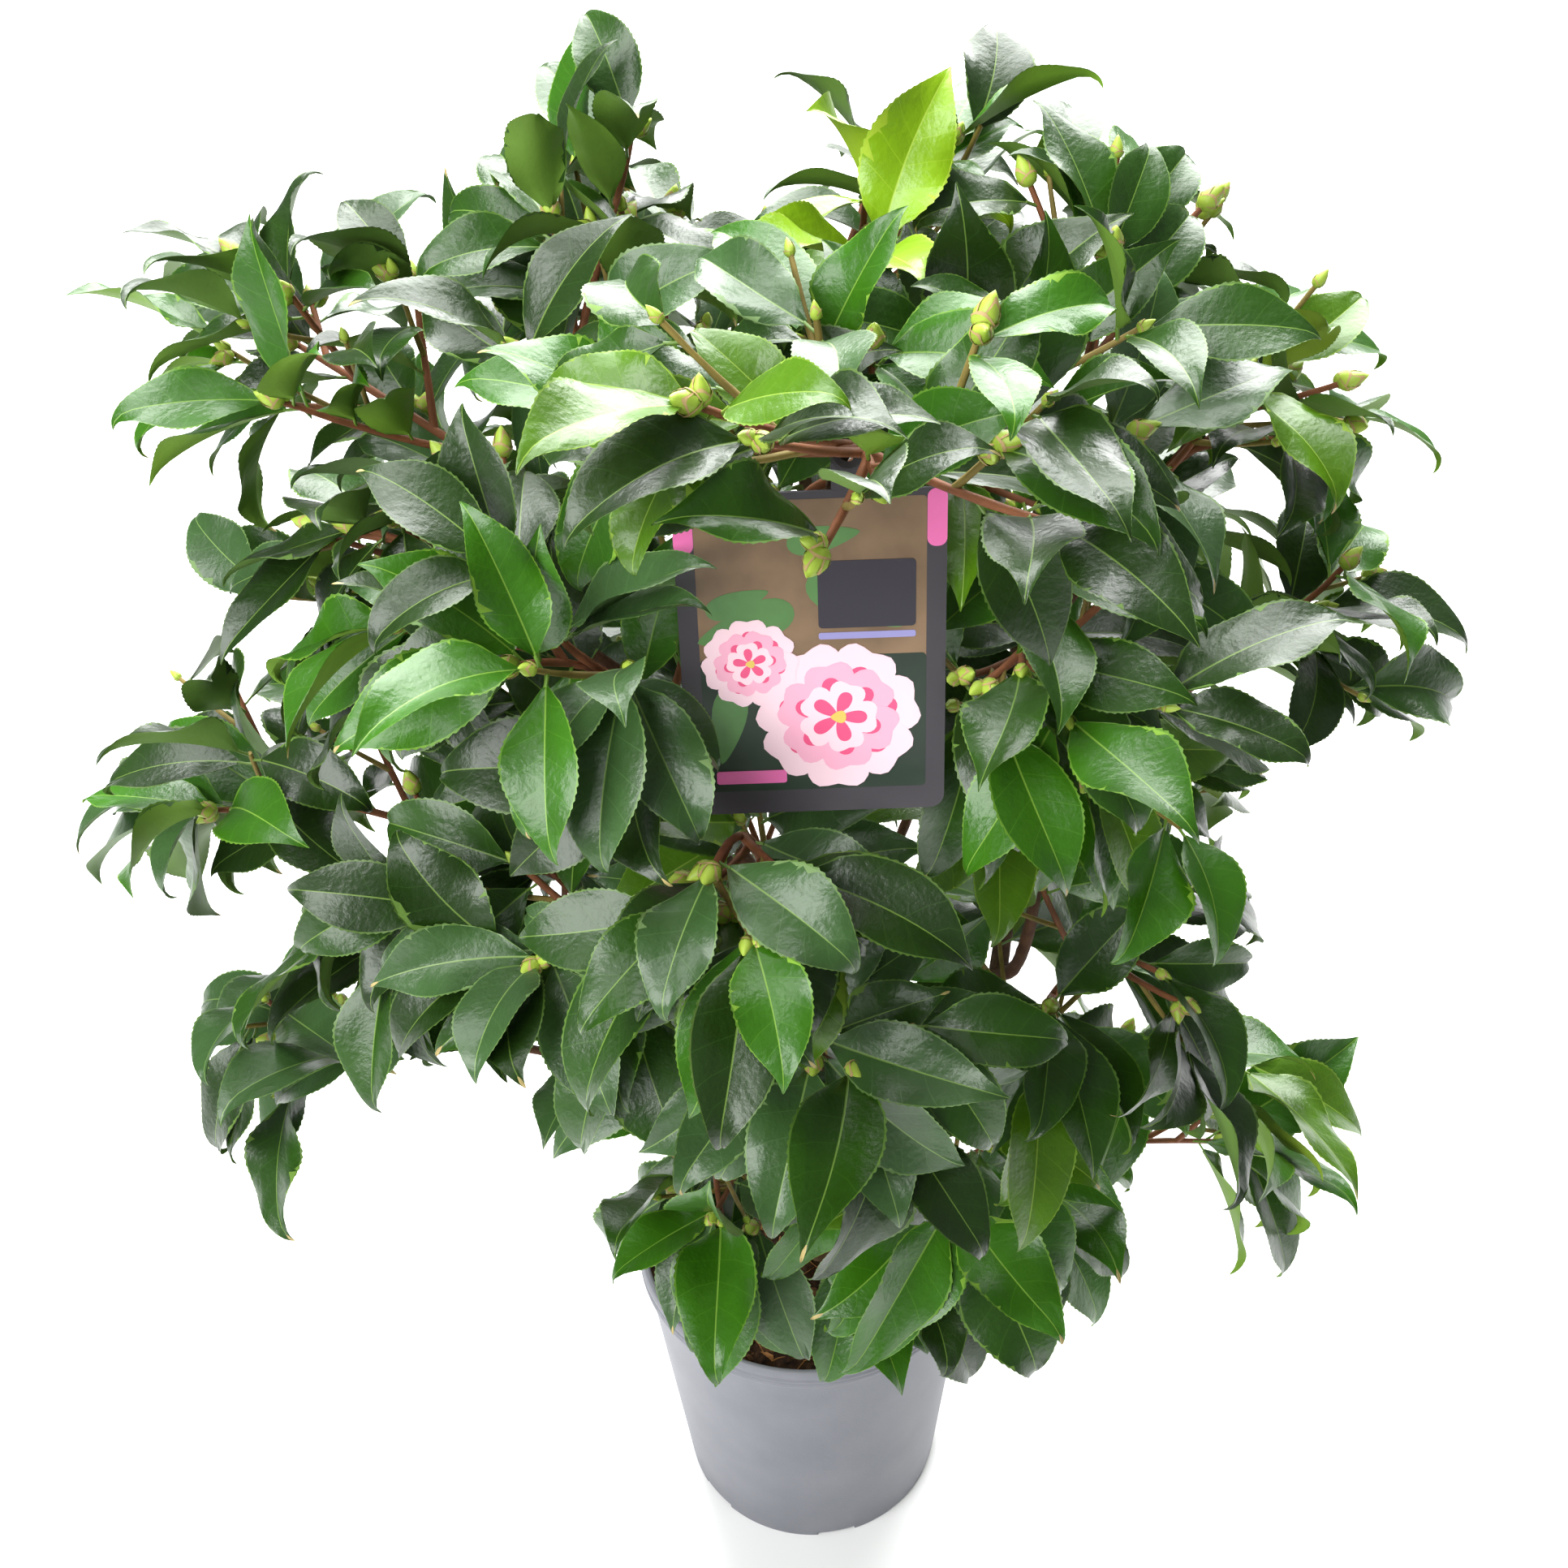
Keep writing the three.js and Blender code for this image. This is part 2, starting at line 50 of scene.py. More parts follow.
# name: place on the trunk, bearing, reach and height of the tip, radii, lift
STEMS = {
    "left": (1, 205, 70, 706, 6, 2.6, 62),
    "right": (0.84, 350, 112, 722, 5.6, 2.6, 74),
    "back": (0.68, 82, 62, 706, 5.2, 2.6, 80),
    "front": (0.52, 272, 60, 700, 5, 2.6, 72),
}
# name, parent, place on it, bearing, reach and height of the tip, lift, share that is bare bough
SHOOTS = [
    ("low_left", "trunk", 0.9, 192, 250, 426, 4, 0.66),
    ("low_right", "trunk", 0.4, 352, 214, 300, 4, 0.52),
    ("low_front_right", "trunk", 0.3, 304, 128, 356, 10, 0.42),
    ("low_front_left", "trunk", 0.62, 226, 94, 330, 2, 0.38),
    ("low_back", "back", 0.12, 104, 178, 410, 8, 0.5),
    ("mid_front_left", "left", 0.22, 240, 194, 588, 14, 0.5),
    ("mid_left_low", "left", 0.3, 200, 196, 538, 8, 0.5),
    ("mid_left_far", "left", 0.42, 181, 266, 546, 6, 0.58),
    ("mid_left", "left", 0.56, 172, 200, 622, 22, 0.5),
    ("mid_right", "right", 0.5, 359, 222, 616, 8, 0.52),
    ("mid_front_right", "right", 0.4, 312, 168, 636, 16, 0.5),
    ("mid_right_low", "right", 0.22, 328, 180, 496, 4, 0.5),
    ("mid_front", "front", 0.2, 271, 190, 556, 6, 0.5),
    ("front", "front", 0.44, 262, 204, 664, 12, 0.6),
    ("front_left", "front", 0.62, 242, 190, 724, 22, 0.5),
    ("upper_left", "left", 0.72, 194, 168, 698, 24, 0.46),
    ("high_left", "left", 0.88, 170, 196, 738, 26, 0.5),
    ("top_left", "left", 1, 160, 86, 774, 70, 0),
    ("top_back_left", "back", 0.7, 128, 130, 742, 52, 0.5),
    ("top_back", "back", 1, 50, 80, 772, 64, 0),
    ("top_right", "right", 1, 9, 130, 776, 62, 0),
    ("high_right", "right", 0.78, 5, 196, 720, 26, 0.5),
    ("high_front", "front", 0.9, 278, 188, 800, -4, 0.82),
    ("high_front_right", "front", 1, 306, 140, 772, 30, 0),
    ("front_right", "right", 0.6, 294, 184, 716, 14, 0.55),
    ("mid_back_left", "back", 0.34, 140, 206, 560, 16, 0.5),
    ("mid_back_right", "back", 0.26, 44, 210, 566, 16, 0.5),
    ("high_back", "back", 0.56, 92, 170, 664, 26, 0.5),
]
BOUGH = dict(radius=3.5, tip=2.0)
LEADER_TIP = 1.3
TWIG = dict(count=5, tries=4, radius=1.7, tip=1.2, length=66, angle=50, rise=0.22)
FINE = dict(places=(0.5,), length=40, angle=46, radius=1.3, tip=1.0)
ON_BOUGH = dict(places=(0.5, 0.8), length=50)
LEAF = dict(low=94, high=68, low_height=320, high_height=780, width=0.47, spacing=19, crowd=3.2, whorl=4, tries=6)
STALK = 0.085
GOLDEN = 137.5
SEED = 7001
CROWN_TOP = 856
SLACK = 16
CARD = dict(host="high_front", along=0.75, width=88, height=118, thick=1.2, corner=5, lean=10, neck=9,
            tab=10, shift=-12, ring=2.2, ring_width=5)
# What may be hidden of the card by the leaves of any mass, and by those of the masses beside it: at its
# top, its left side and its right side
CARD_FREE = (0, 0, 0)
OVER_CARD = {"high_front": (22, 0, 0), "front_left": (30, 20, 0)}
# Sprays that stand out of the crown: host, place on its leader, bearing, reach and height of the tip, tint
SPRAYS = {
    "tall_left": ("top_left", 0.45, 135, 75, 812, 1),
    "tall_left_low": ("top_back_left", 0.5, 143, 74, 784, 0),
    "tall_middle": ("top_back", 0.3, 337, 40, 790, 5),
    "tall_middle_right": ("top_back", 0.7, 39, 90, 802, 2),
    "tall_right": ("top_right", 0.7, 15, 134, 802, 2),
    "right_arm": ("high_right", 0.3, 352, 195, 718, 0),
    "right_arm_low": ("mid_right", 0.2, 357, 229, 644, 2),
    "front_right_arm": ("high_front_right", 0.6, 320, 152, 760, 3),
    "left_front": ("front_left", 0.5, 244, 176, 731, 3),
    "left_front_high": ("high_front", 0.2, 248, 136, 789, 2),
    "low_front": ("low_front_left", 0.6, 246, 102, 332, 2),
}
SPRAY_SLACK = 80
MASSES = ["leaves_" + row[0] for row in SHOOTS]
LOW, HIGH = np.array([-344.0, -286.0, 0.0]), np.array([296.5, 268.0, 857.0])

# The camera, with its focal length in pixels of a picture that is 1932 pixels wide.
VIEW = dict(place=(-4, -675, 1100), pitch=40.3, roll=-2, focal=2400, frame=1932)
# Where the sky or the pot shows beside and through the crown: middle and radius in that picture.
SKY = {
    "over_left_shoulder": ((100, 170, 115), (250, 150, 125), (400, 100, 100), (540, 80, 95), (470, 185, 35)),
    "left_of_tall_spray": ((590, 20, 60),),
    "between_left_tops": ((880, 60, 78), (900, 160, 68), (905, 235, 30), (870, 205, 25)),
    "between_middle_tops": ((1010, 20, 60), (1100, 30, 68)),
    "right_of_tall_spray": ((1450, 80, 62), (1540, 110, 80), (1550, 205, 55), (1565, 290, 42)),
    "over_right_shoulder": ((1640, 180, 110), (1720, 290, 82), (1840, 330, 100), (1860, 470, 70)),
    "right_side": ((1745, 480, 32), (1770, 655, 55), (1880, 640, 65), (1700, 590, 26)),
    "under_right_spray": ((1680, 985, 72), (1600, 970, 26), (1780, 1010, 70), (1850, 930, 45)),
    "low_right": ((1620, 1090, 80), (1560, 1040, 42), (1640, 1210, 62), (1560, 1225, 18), (1720, 1160, 90)),
    "left_side": ((60, 470, 60), (100, 580, 60), (110, 650, 55)),
    "left_notch": ((110, 770, 78), (200, 745, 62), (170, 850, 34), (300, 765, 16)),
    "under_left_spray": ((70, 1120, 60), (150, 1175, 55), (230, 1180, 42), (300, 1150, 22), (420, 1215, 14)),
    "low_left": ((120, 1340, 70), (200, 1340, 28), (190, 1450, 80), (290, 1480, 28), (430, 1420, 50),
                 (480, 1520, 110)),
    "beside_pot": ((620, 1400, 45), (610, 1530, 90), (700, 1650, 70), (760, 1440, 26), (770, 1610, 28),
                   (780, 1720, 60)),
    "front_of_pot": ((900, 1790, 72), (1040, 1790, 82), (1160, 1780, 66), (1255, 1760, 50)),
    "through_crown": ((365, 760, 20), (1270, 1195, 26), (1395, 1255, 18), (1165, 1365, 18), (1440, 1450, 40),
                      (1530, 835, 20), (1545, 600, 20), (1640, 455, 20)),
}


# ------------------------------------------------------------------ small helpers
def unit(v):
    return v / np.linalg.norm(v)


def placed(bearing, reach, z):
    """Point at a bearing (0 along +X, 90 to the back) and reach from the pot's axis."""
    return np.array([reach * math.cos(math.radians(bearing)), reach * math.sin(math.radians(bearing)), z])


def stream(seed):
    """Seeded numbers between 0 and 1, the same as the solid model's."""
    state = seed & 0xFFFFFFFF
    while True:
        state = (state + 0x6D2B79F5) & 0xFFFFFFFF
        mixed = ((state ^ (state >> 15)) * (state | 1)) & 0xFFFFFFFF
        mixed = ((mixed + ((mixed ^ (mixed >> 7)) * (mixed | 61) & 0xFFFFFFFF)) ^ mixed) & 0xFFFFFFFF
        yield (mixed ^ (mixed >> 14)) / 4294967296


def tipped(axis, turn, angle):
    """A direction tipped away from an axis by an angle, on the side given by a turn about it."""
    side = unit(np.cross(axis, [1, 0, 0] if abs(axis[2]) > 0.95 else UP))
    other = np.cross(axis, side)
    a, b = math.radians(turn), math.radians(angle)
    return axis * math.cos(b) + (side * math.cos(a) + other * math.sin(a)) * math.sin(b)


class Curve:
    """Cubic curve through four guide points."""

    def __init__(self, *guides):
        self.guides = np.array(guides, float)

    def at(self, t):
        a, b, c, d = self.guides
        t = np.asarray(t, float)[..., None]
        return a * (1 - t) ** 3 + 3 * b * t * (1 - t) ** 2 + 3 * c * t * t * (1 - t) + d * t ** 3

    def way(self, t):
        return unit(self.at(min(t + 1e-3, 1)) - self.at(max(t - 1e-3, 0)))

    def length(self, start=0.0, end=1.0):
        knots = self.at(np.linspace(start, end, 60))
        return np.linalg.norm(np.diff(knots, axis=0), axis=1).sum()


def limb_curve(start, heading, tip, lift):
    span = np.linalg.norm(tip - start)
    out = unit((tip - start) * [1, 1, 0])
    leave = unit(heading * 0.55 + out * 0.75)
    arrive = out * math.cos(math.radians(lift)) + UP * math.sin(math.radians(lift))
    return Curve(start, start + leave * 0.34 * span, tip - arrive * 0.36 * span, tip)


def end_curve(start, heading, tip, lift):
    span = np.linalg.norm(tip - start)
    out = unit((tip - start) * [1, 1, 0])
    arrive = out * math.cos(math.radians(lift)) + UP * math.sin(math.radians(lift))
    return Curve(start, start + heading * 0.36 * span, tip - arrive * 0.3 * span, tip)


class Build:
    """Points, triangles and paint numbers of one mesh."""

    def __init__(self):
        self.points, self.triangles, self.paints, self.count = [], [], [], 0

    def add(self, points, triangles, paint=0):
        points, triangles = np.asarray(points, float), np.asarray(triangles, np.int32)
        self.points.append(points)
        self.triangles.append(triangles + self.count)
        self.paints.append(np.broadcast_to(np.asarray(paint, np.int32), len(triangles)))
        self.count += len(points)

    def grid(self, rows, paint=0, around=False):
        """A surface through rows of points; faces look to the left of rows x columns."""
        n, m = rows.shape[:2]
        i, j = np.meshgrid(np.arange(n - 1), np.arange(m if around else m - 1), indexing="ij")
        k = (j + 1) % m
        a, b, c, d = i * m + j, (i + 1) * m + j, (i + 1) * m + k, i * m + k
        triangles = np.concatenate([np.stack([a, b, c], -1).reshape(-1, 3), np.stack([a, c, d], -1).reshape(-1, 3)])
        self.add(rows.reshape(-1, 3), triangles, paint)

    def arrays(self):
        return np.concatenate(self.points), np.concatenate(self.triangles), np.concatenate(self.paints)

    def tree(self):
        points, triangles, _ = self.arrays()
        return BVHTree.FromPolygons(points.tolist(), triangles.tolist())

    def piece(self, name, materials, replaced, smooth=True):
        points, triangles, paints = self.arrays()
        mesh = bpy.data.meshes.new(name)
        mesh.vertices.add(len(points))
        mesh.vertices.foreach_set("co", (points * 0.001).astype(np.float32).ravel())
        mesh.loops.add(triangles.size)
        mesh.loops.foreach_set("vertex_index", triangles.ravel())
        mesh.polygons.add(len(triangles))
        mesh.polygons.foreach_set("loop_start", np.arange(0, triangles.size, 3, dtype=np.int32))
        mesh.polygons.foreach_set("material_index", paints.astype(np.int32))
        mesh.polygons.foreach_set("use_smooth", np.full(len(triangles), smooth))
        mesh.update(calc_edges=True)
        mesh.validate()
        for material in materials:
            mesh.materials.append(material)
        made = bpy.data.objects.new(name, mesh)
        bpy.context.scene.collection.objects.link(made)
        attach(made, "root")
        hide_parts(*replaced)
        return made


def tube(build, points, radii, sides, paint=0, relief=None):
    """Round limb through points, closed at both ends; relief adds to the radius."""
    points = np.asarray(points, float)
    radii = np.broadcast_to(np.asarray(radii, float), len(points))
    ways = np.gradient(points, axis=0)
    ways /= np.linalg.norm(ways, axis=1)[:, None]
    side = np.cross(ways[0], [1, 0, 0] if abs(ways[0][2]) > 0.9 else UP)
    rings = np.empty((len(points), sides, 3))
    turn = np.arange(sides) * 2 * math.pi / sides
    for i, (point, way) in enumerate(zip(points, ways)):
        side = unit(side - way * np.dot(side, way))
        other = np.cross(way, side)
        out = np.outer(np.cos(turn), side) + np.outer(np.sin(turn), other)
        reach = radii[i] + (relief(i / (len(points) - 1), turn) if relief else 0)
        rings[i] = point + out * np.reshape(reach, (-1, 1))
    build.grid(rings[:, ::-1], paint, around=True)
    for ring, centre, flip in ((rings[0], points[0], 1), (rings[-1], points[-1], -1)):
        fan = [(0, 1 + k, 1 + (k + 1) % sides)[::-flip] for k in range(sides)]
        build.add(np.vstack([centre, ring]), fan, paint)


# ------------------------------------------------------------------ view
def camera_axes():
    """Ahead, right and up as the camera sees them."""
    pitch, roll = math.radians(VIEW["pitch"]), math.radians(VIEW["roll"])
    level, upright = np.array([1.0, 0, 0]), np.array([0, math.sin(pitch), math.cos(pitch)])
    ahead = np.array([0, math.cos(pitch), -math.sin(pitch)])
    return ahead, level * math.cos(roll) + upright * math.sin(roll), upright * math.cos(roll) - level * math.sin(roll)


AHEAD, RIGHTWARD, UPWARD = camera_axes()
HOLES = np.array([hole for holes in SKY.values() for hole in holes], float)


def in_sky(points):
    """True if any of the points covers a place where the sky shows."""
    away = np.asarray(points) - VIEW["place"]
    depth = away @ AHEAD
    across = VIEW["frame"] / 2 + VIEW["focal"] * (away @ RIGHTWARD) / depth
    down = VIEW["frame"] / 2 - VIEW["focal"] * (away @ UPWARD) / depth
    return bool((np.hypot(across[:, None] - HOLES[:, 0], down[:, None] - HOLES[:, 1]) < HOLES[:, 2]).any())


# ------------------------------------------------------------------ paints
def linear(rgb):
    """Linear colour of three numbers from 0 to 255."""
    return tuple((c / 255 / 12.92) if c <= 10 else ((c / 255 + 0.055) / 1.055) ** 2.4 for c in rgb)


def paint(name, rgb, rough, spread=0.0, scale=40.0, bump=0.0, fine=300.0, specular=0.5, coat=0.0, second=None):
    """Procedural finish: a plain colour, mottled towards a second one, with a fine bump."""
    material = bpy.data.materials.new(name)
    material.use_nodes = True
    nodes, links = material.node_tree.nodes, material.node_tree.links
    shader = nodes["Principled BSDF"]
    colour = linear(rgb)
    shader.inputs["Base Color"].default_value = (*colour, 1)
    shader.inputs["Roughness"].default_value = rough
    shader.inputs["Specular IOR Level"].default_value = specular
    shader.inputs["Coat Weight"].default_value = coat
    shader.inputs["Coat Roughness"].default_value = 0.25
    place = nodes.new("ShaderNodeTexCoord")
    if spread or second:
        noise = nodes.new("ShaderNodeTexNoise")
        noise.inputs["Scale"].default_value = scale
        noise.inputs["Detail"].default_value = 4
        ramp = nodes.new("ShaderNodeValToRGB")
        other = linear(second) if second else tuple(c * (1 + spread) for c in colour)
        ramp.color_ramp.elements[0].position = 0.35
        ramp.color_ramp.elements[1].position = 0.68
        ramp.color_ramp.elements[0].color = (*(c * (1 - spread) for c in colour), 1)
        ramp.color_ramp.elements[1].color = (*other, 1)
        links.new(place.outputs["Object"], noise.inputs["Vector"])
        links.new(noise.outputs["Fac"], ramp.inputs["Fac"])
        links.new(ramp.outputs["Color"], shader.inputs["Base Color"])
    if bump:
        grain = nodes.new("ShaderNodeTexNoise")
        grain.inputs["Scale"].default_value = fine
        grain.inputs["Detail"].default_value = 3
        relief = nodes.new("ShaderNodeBump")
        relief.inputs["Strength"].default_value = bump
        relief.inputs["Distance"].default_value = 0.0006
        links.new(place.outputs["Object"], grain.inputs["Vector"])
        links.new(grain.outputs["Fac"], relief.inputs["Height"])
        links.new(relief.outputs["Normal"], shader.inputs["Normal"])
    return material


# ------------------------------------------------------------------ wood
def bark_relief(number, depth, lobes, scars):
    """Uneven girth of a limb: lobes, furrows and the rings of old leaf scars."""
    random = stream(SEED + 311 * number)
    phases = [2 * math.pi * next(random) for _ in range(8)]

    def relief(t, turn):
        rough = 0.5 * np.sin(lobes * turn + phases[0] + 5 * t) + 0.5 * np.sin((lobes + 2) * turn + phases[1] - 9 * t)
        rough += 0.6 * np.sin(3 * turn + 37 * t + phases[2]) * np.sin(61 * t + phases[3])
        rough += 0.5 * np.sin(7 * turn + phases[4] + 83 * t) * np.sin(2 * turn + 129 * t + phases[5])
        swell = np.exp(-((((t * scars) % 1) - 0.5) / 0.09) ** 2)
        return depth * (rough + 0.9 * swell * (1 + 0.5 * np.cos(turn + phases[6] + 2.4 * int(t * scars))))

    return relief


def grow_limb(build, number, curve, end, start_radius, end_radius, sides, paint_number):
    length = curve.length(0, end)
    rings = max(int(length / 4.5), 6)
    t = np.linspace(0, end, rings)
    share = t / end
    radii = start_radius + (end_radius - start_radius) * share
    radii = radii + 0.32 * start_radius * np.exp(-share * length / 9)
    relief = bark_relief(number, 0.05 * start_radius + 0.06, 4, max(round(length / 21), 1))
    tube(build, curve.at(t), radii, sides, paint_number, relief)


curves = {}
foot = np.array([*TRUNK["foot"], SOIL["top"] + GAP])
top = np.array(TRUNK["top"], float)
bole = Curve(foot, foot + [0, 0, 34], top + [-6, 2, -30], top)
curves["trunk"] = bole
wood = Build()
bole_t = np.linspace(0, 1, 40)
bole_height = bole_t * (TRUNK["top"][2] - SOIL["top"])
bole_flare = TRUNK["flare"] * np.exp(-3 * bole_height / TRUNK["flare_height"])
bole_radii = TRUNK["radius"] + (TRUNK["tip"] - TRUNK["radius"]) * bole_t + bole_flare
bole_bark = bark_relief(0, 0.55, 5, 5)


def bole_relief(t, turn):
    roots = 2.2 * math.exp(-t * 104 / 12) * np.cos(5 * turn + 0.6)
    return bole_bark(t, turn) * (1 - 0.5 * math.exp(-t * 30)) + roots


tube(wood, bole.at(bole_t), bole_radii, 22, 0, bole_relief)
for number, (name, (at, bearing, reach, height, radius, tip, lift)) in enumerate(STEMS.items(), 1):
    curves[name] = limb_curve(bole.at(at), bole.way(at), placed(bearing, reach, height), lift)
    grow_limb(wood, number, curves[name], 1, radius, tip, 14, 1)

shoots = []
for number, (name, parent, at, bearing, reach, height, lift, share) in enumerate(SHOOTS):
    host = curves[parent]
    tip = placed(bearing, reach, height)
    curve = (limb_curve if at < 1 else end_curve)(host.at(at), host.way(at), tip, lift)
    if share:
        grow_limb(wood, 10 + number, curve, share + 0.01, BOUGH["radius"], BOUGH["tip"], 10, 2)
    middle = curve.at(max(share, 0.6) + 0.2 * (1 - share))
    shoots.append(dict(name=name, number=number, curve=curve, share=share, middle=middle))
BOUGH_NODES = ["trunk"] + ["stem_" + name for name in STEMS] + ["bough_" + row[0] for row in SHOOTS if row[7]]
wood.piece("wood", [
    paint("bark_trunk", (146, 122, 92), 0.85, 0.12, 90, 0.7, 700, 0.25, second=(104, 82, 58)),
    paint("bark_stem", (96, 72, 52), 0.85, 0.15, 110, 0.6, 800, 0.25, second=(66, 48, 36)),
    paint("bark_bough", (104, 70, 50), 0.8, 0.15, 120, 0.5, 900, 0.3, second=(78, 50, 36)),
], BOUGH_NODES)

# ------------------------------------------------------------------ picture label
hanger = next(s for s in shoots if s["name"] == CARD["host"])
HOOK_AT = CARD["along"] / hanger["share"]
knots = hanger["curve"].at(np.linspace(0, hanger["share"], 7))
run = min(int(HOOK_AT * 6), 5)
HOOK = knots[run] + (knots[run + 1] - knots[run]) * (HOOK_AT * 6 - run)
HOOK_WAY = unit(knots[run + 1] - knots[run])
HOOK_RADIUS = BOUGH["radius"] + (BOUGH["tip"] - BOUGH["radius"]) * HOOK_AT
DROP = -CARD["neck"] - HOOK_RADIUS - 2 * GAP
LEAN = math.pi / 2 - math.radians(CARD["lean"])


def hung(points):
    """Points drawn in the plane of the card, with the hook at the origin, put in their place."""
    x, y, z = np.asarray(points, float).T
    return np.stack([x, y * math.cos(LEAN) - z * math.sin(LEAN), y * math.sin(LEAN) + z * math.cos(LEAN)], 1) + HOOK


def on_card(points):
    """The reverse of hung: places in the plane of the card and in front of it."""
    x, y, z = (np.asarray(points, float) - HOOK).T
    return np.stack([x, y * math.cos(LEAN) + z * math.sin(LEAN), -y * math.sin(LEAN) + z * math.cos(LEAN)], 1)


def hides_card(points, name):
    """True if any of the points hides the part of the card that stays free for the viewer."""
    free_top, free_left, free_right = OVER_CARD.get(name, CARD_FREE)
    eye, spots = on_card([VIEW["place"]])[0], on_card(points)
    share = eye[2] / (eye[2] - spots[:, 2])
    x, y = (eye + (spots - eye) * share[:, None])[:, :2].T
    left, right = CARD["shift"] - CARD["width"] / 2 + free_left, CARD["shift"] + CARD["width"] / 2 - free_right
    within = (spots[:, 2] > -3) & (y < DROP - free_top) & (y > DROP - CARD["height"]) & (x > left) & (x < right)
    return bool(within.any())


def rounded(x0, y0, x1, y1, corner, steps=6):
    """Outline of a rectangle with round corners."""
    outline = []
    for cx, cy, start in ((x1 - corner, y0 + corner, -90), (x1 - corner, y1 - corner, 0),
                          (x0 + corner, y1 - corner, 90), (x0 + corner, y0 + corner, 180)):
        for k in range(steps + 1):
            a = math.radians(start + 90 * k / steps)
            outline.append((cx + corner * math.cos(a), cy + corner * math.sin(a)))
    return outline


def plate(build, outline, low, high, number):
    """Flat plate with a star-shaped outline, from one height above the card's middle to another."""
    outline = np.asarray(outline, float)
    n = len(outline)
    centre = outline.mean(axis=0)
    for z, flip in ((high, 1), (low, -1)):
        flat = np.vstack([[*centre, z], np.column_stack([outline, np.full(n, z)])])
        build.add(hung(flat), [(0, 1 + k, 1 + (k + 1) % n)[::flip] for k in range(n)], number)
    rim = np.stack([np.column_stack([outline, np.full(n, low)]), np.column_stack([outline, np.full(n, high)])])
    build.grid(hung(rim.reshape(-1, 3)).reshape(2, n, 3)[::-1], number, around=True)


def petal(cx, cy, turn, length, width, notch=0.0):
    """Broad petal that starts at a blossom's middle."""
    a = np.linspace(0, 2 * math.pi, 25)[:-1]
    along = length * (0.5 - 0.5 * np.cos(a)) ** 0.8
    across = width * 0.5 * np.sin(a) * (0.55 + 0.45 * (0.5 - 0.5 * np.cos(a)))
    along = along - notch * length * np.exp(-((a - math.pi) / 0.35) ** 2)
    c, s = math.cos(math.radians(turn)), math.sin(math.radians(turn))
    return np.column_stack([cx + along * c - across * s, cy + along * s + across * c])


def blossom(build, cx, cy, size, layer, turn):
    for ring, (count, reach, wide, tone) in enumerate(((7, 1, 0.92, 0), (6, 0.74, 0.72, 1), (5, 0.48, 0.52, 0))):
        for k in range(count):
            bearing = turn + 29 * ring + 360 * k / count
            high = layer + 0.1 * ring + 0.012 * k
            plate(build, petal(cx, cy, bearing, size * reach, size * wide, 0.1), 0.5, high, 4 + tone)
            plate(build, petal(cx, cy, bearing, size * reach * 0.7, size * wide * 0.4), 0.5, high + 0.02, 6)
    plate(build, petal(cx - size * 0.09, cy, 0, size * 0.18, size * 0.2), 0.5, layer + 0.4, 7)


LEFT, RIGHT = CARD["shift"] - CARD["width"] / 2, CARD["shift"] + CARD["width"] / 2
BOTTOM = DROP - CARD["height"]
label = Build()
plate(label, rounded(LEFT, BOTTOM, RIGHT, DROP, CARD["corner"]), -0.6, 0.6, 0)
plate(label, [(-CARD["tab"] / 2, DROP - 2), (CARD["tab"] / 2, DROP - 2), (CARD["tab"] / 2, -HOOK_RADIUS - 0.4),
              (-CARD["tab"] / 2, -HOOK_RADIUS - 0.4)], -0.55, 0.55, 0)
ring_t = np.linspace(0, 2 * math.pi, 49)[:-1]
ring_side = unit(np.cross(HOOK_WAY, UP))
ring_up = np.cross(ring_side, HOOK_WAY)
inner = HOOK_RADIUS + 2 * GAP
section = [(inner, -0.5), (inner + CARD["ring"], -0.5), (inner + CARD["ring"], 0.5), (inner, 0.5)]
hoop = np.array([[HOOK + HOOK_WAY * z * CARD["ring_width"] + (ring_side * math.cos(a) + ring_up * math.sin(a)) * r
                  for r, z in section] for a in [*ring_t, 0]])
label.grid(hoop, 0, around=True)
PICTURE = (LEFT + 6.5, BOTTOM + 9, RIGHT - 6.5, DROP - 2.5)
plate(label, rounded(*PICTURE, 1.5), 0.5, 0.66, 1)
plate(label, rounded(PICTURE[0], PICTURE[1], PICTURE[2], BOTTOM + 60, 1.5), 0.5, 0.7, 2)
for x, y, turn, length in ((6, 66, 20, 34), (74, 70, 150, 36), (44, 96, -60, 26), (12, 20, 80, 30),
                           (70, 18, 100, 28), (30, 84, 200, 22), (60, 104, 190, 24)):
    plate(label, petal(LEFT + x, BOTTOM + y, turn, length, length * 0.5), 0.5, 0.74 + 0.0004 * x, 3)
for side in (LEFT, RIGHT - 6.4):
    plate(label, rounded(side, DROP - 20, side + 6.4, DROP - 0.2, 2.8 if side == LEFT else 2.8), 0.5, 0.8, 8)
plate(label, rounded(LEFT + 46, BOTTOM + 70, RIGHT - 10, BOTTOM + 94, 1.5), 0.5, 0.82, 9)
plate(label, rounded(LEFT + 46, BOTTOM + 66, RIGHT - 10, BOTTOM + 68.4, 0.8), 0.5, 0.82, 10)
blossom(label, LEFT + 52, BOTTOM + 37, 29, 0.86, 12)
blossom(label, LEFT + 23, BOTTOM + 58, 17, 0.94, 40)
plate(label, rounded(LEFT + 10, BOTTOM + 12, LEFT + 34, BOTTOM + 17, 1), 0.5, 0.9, 8)
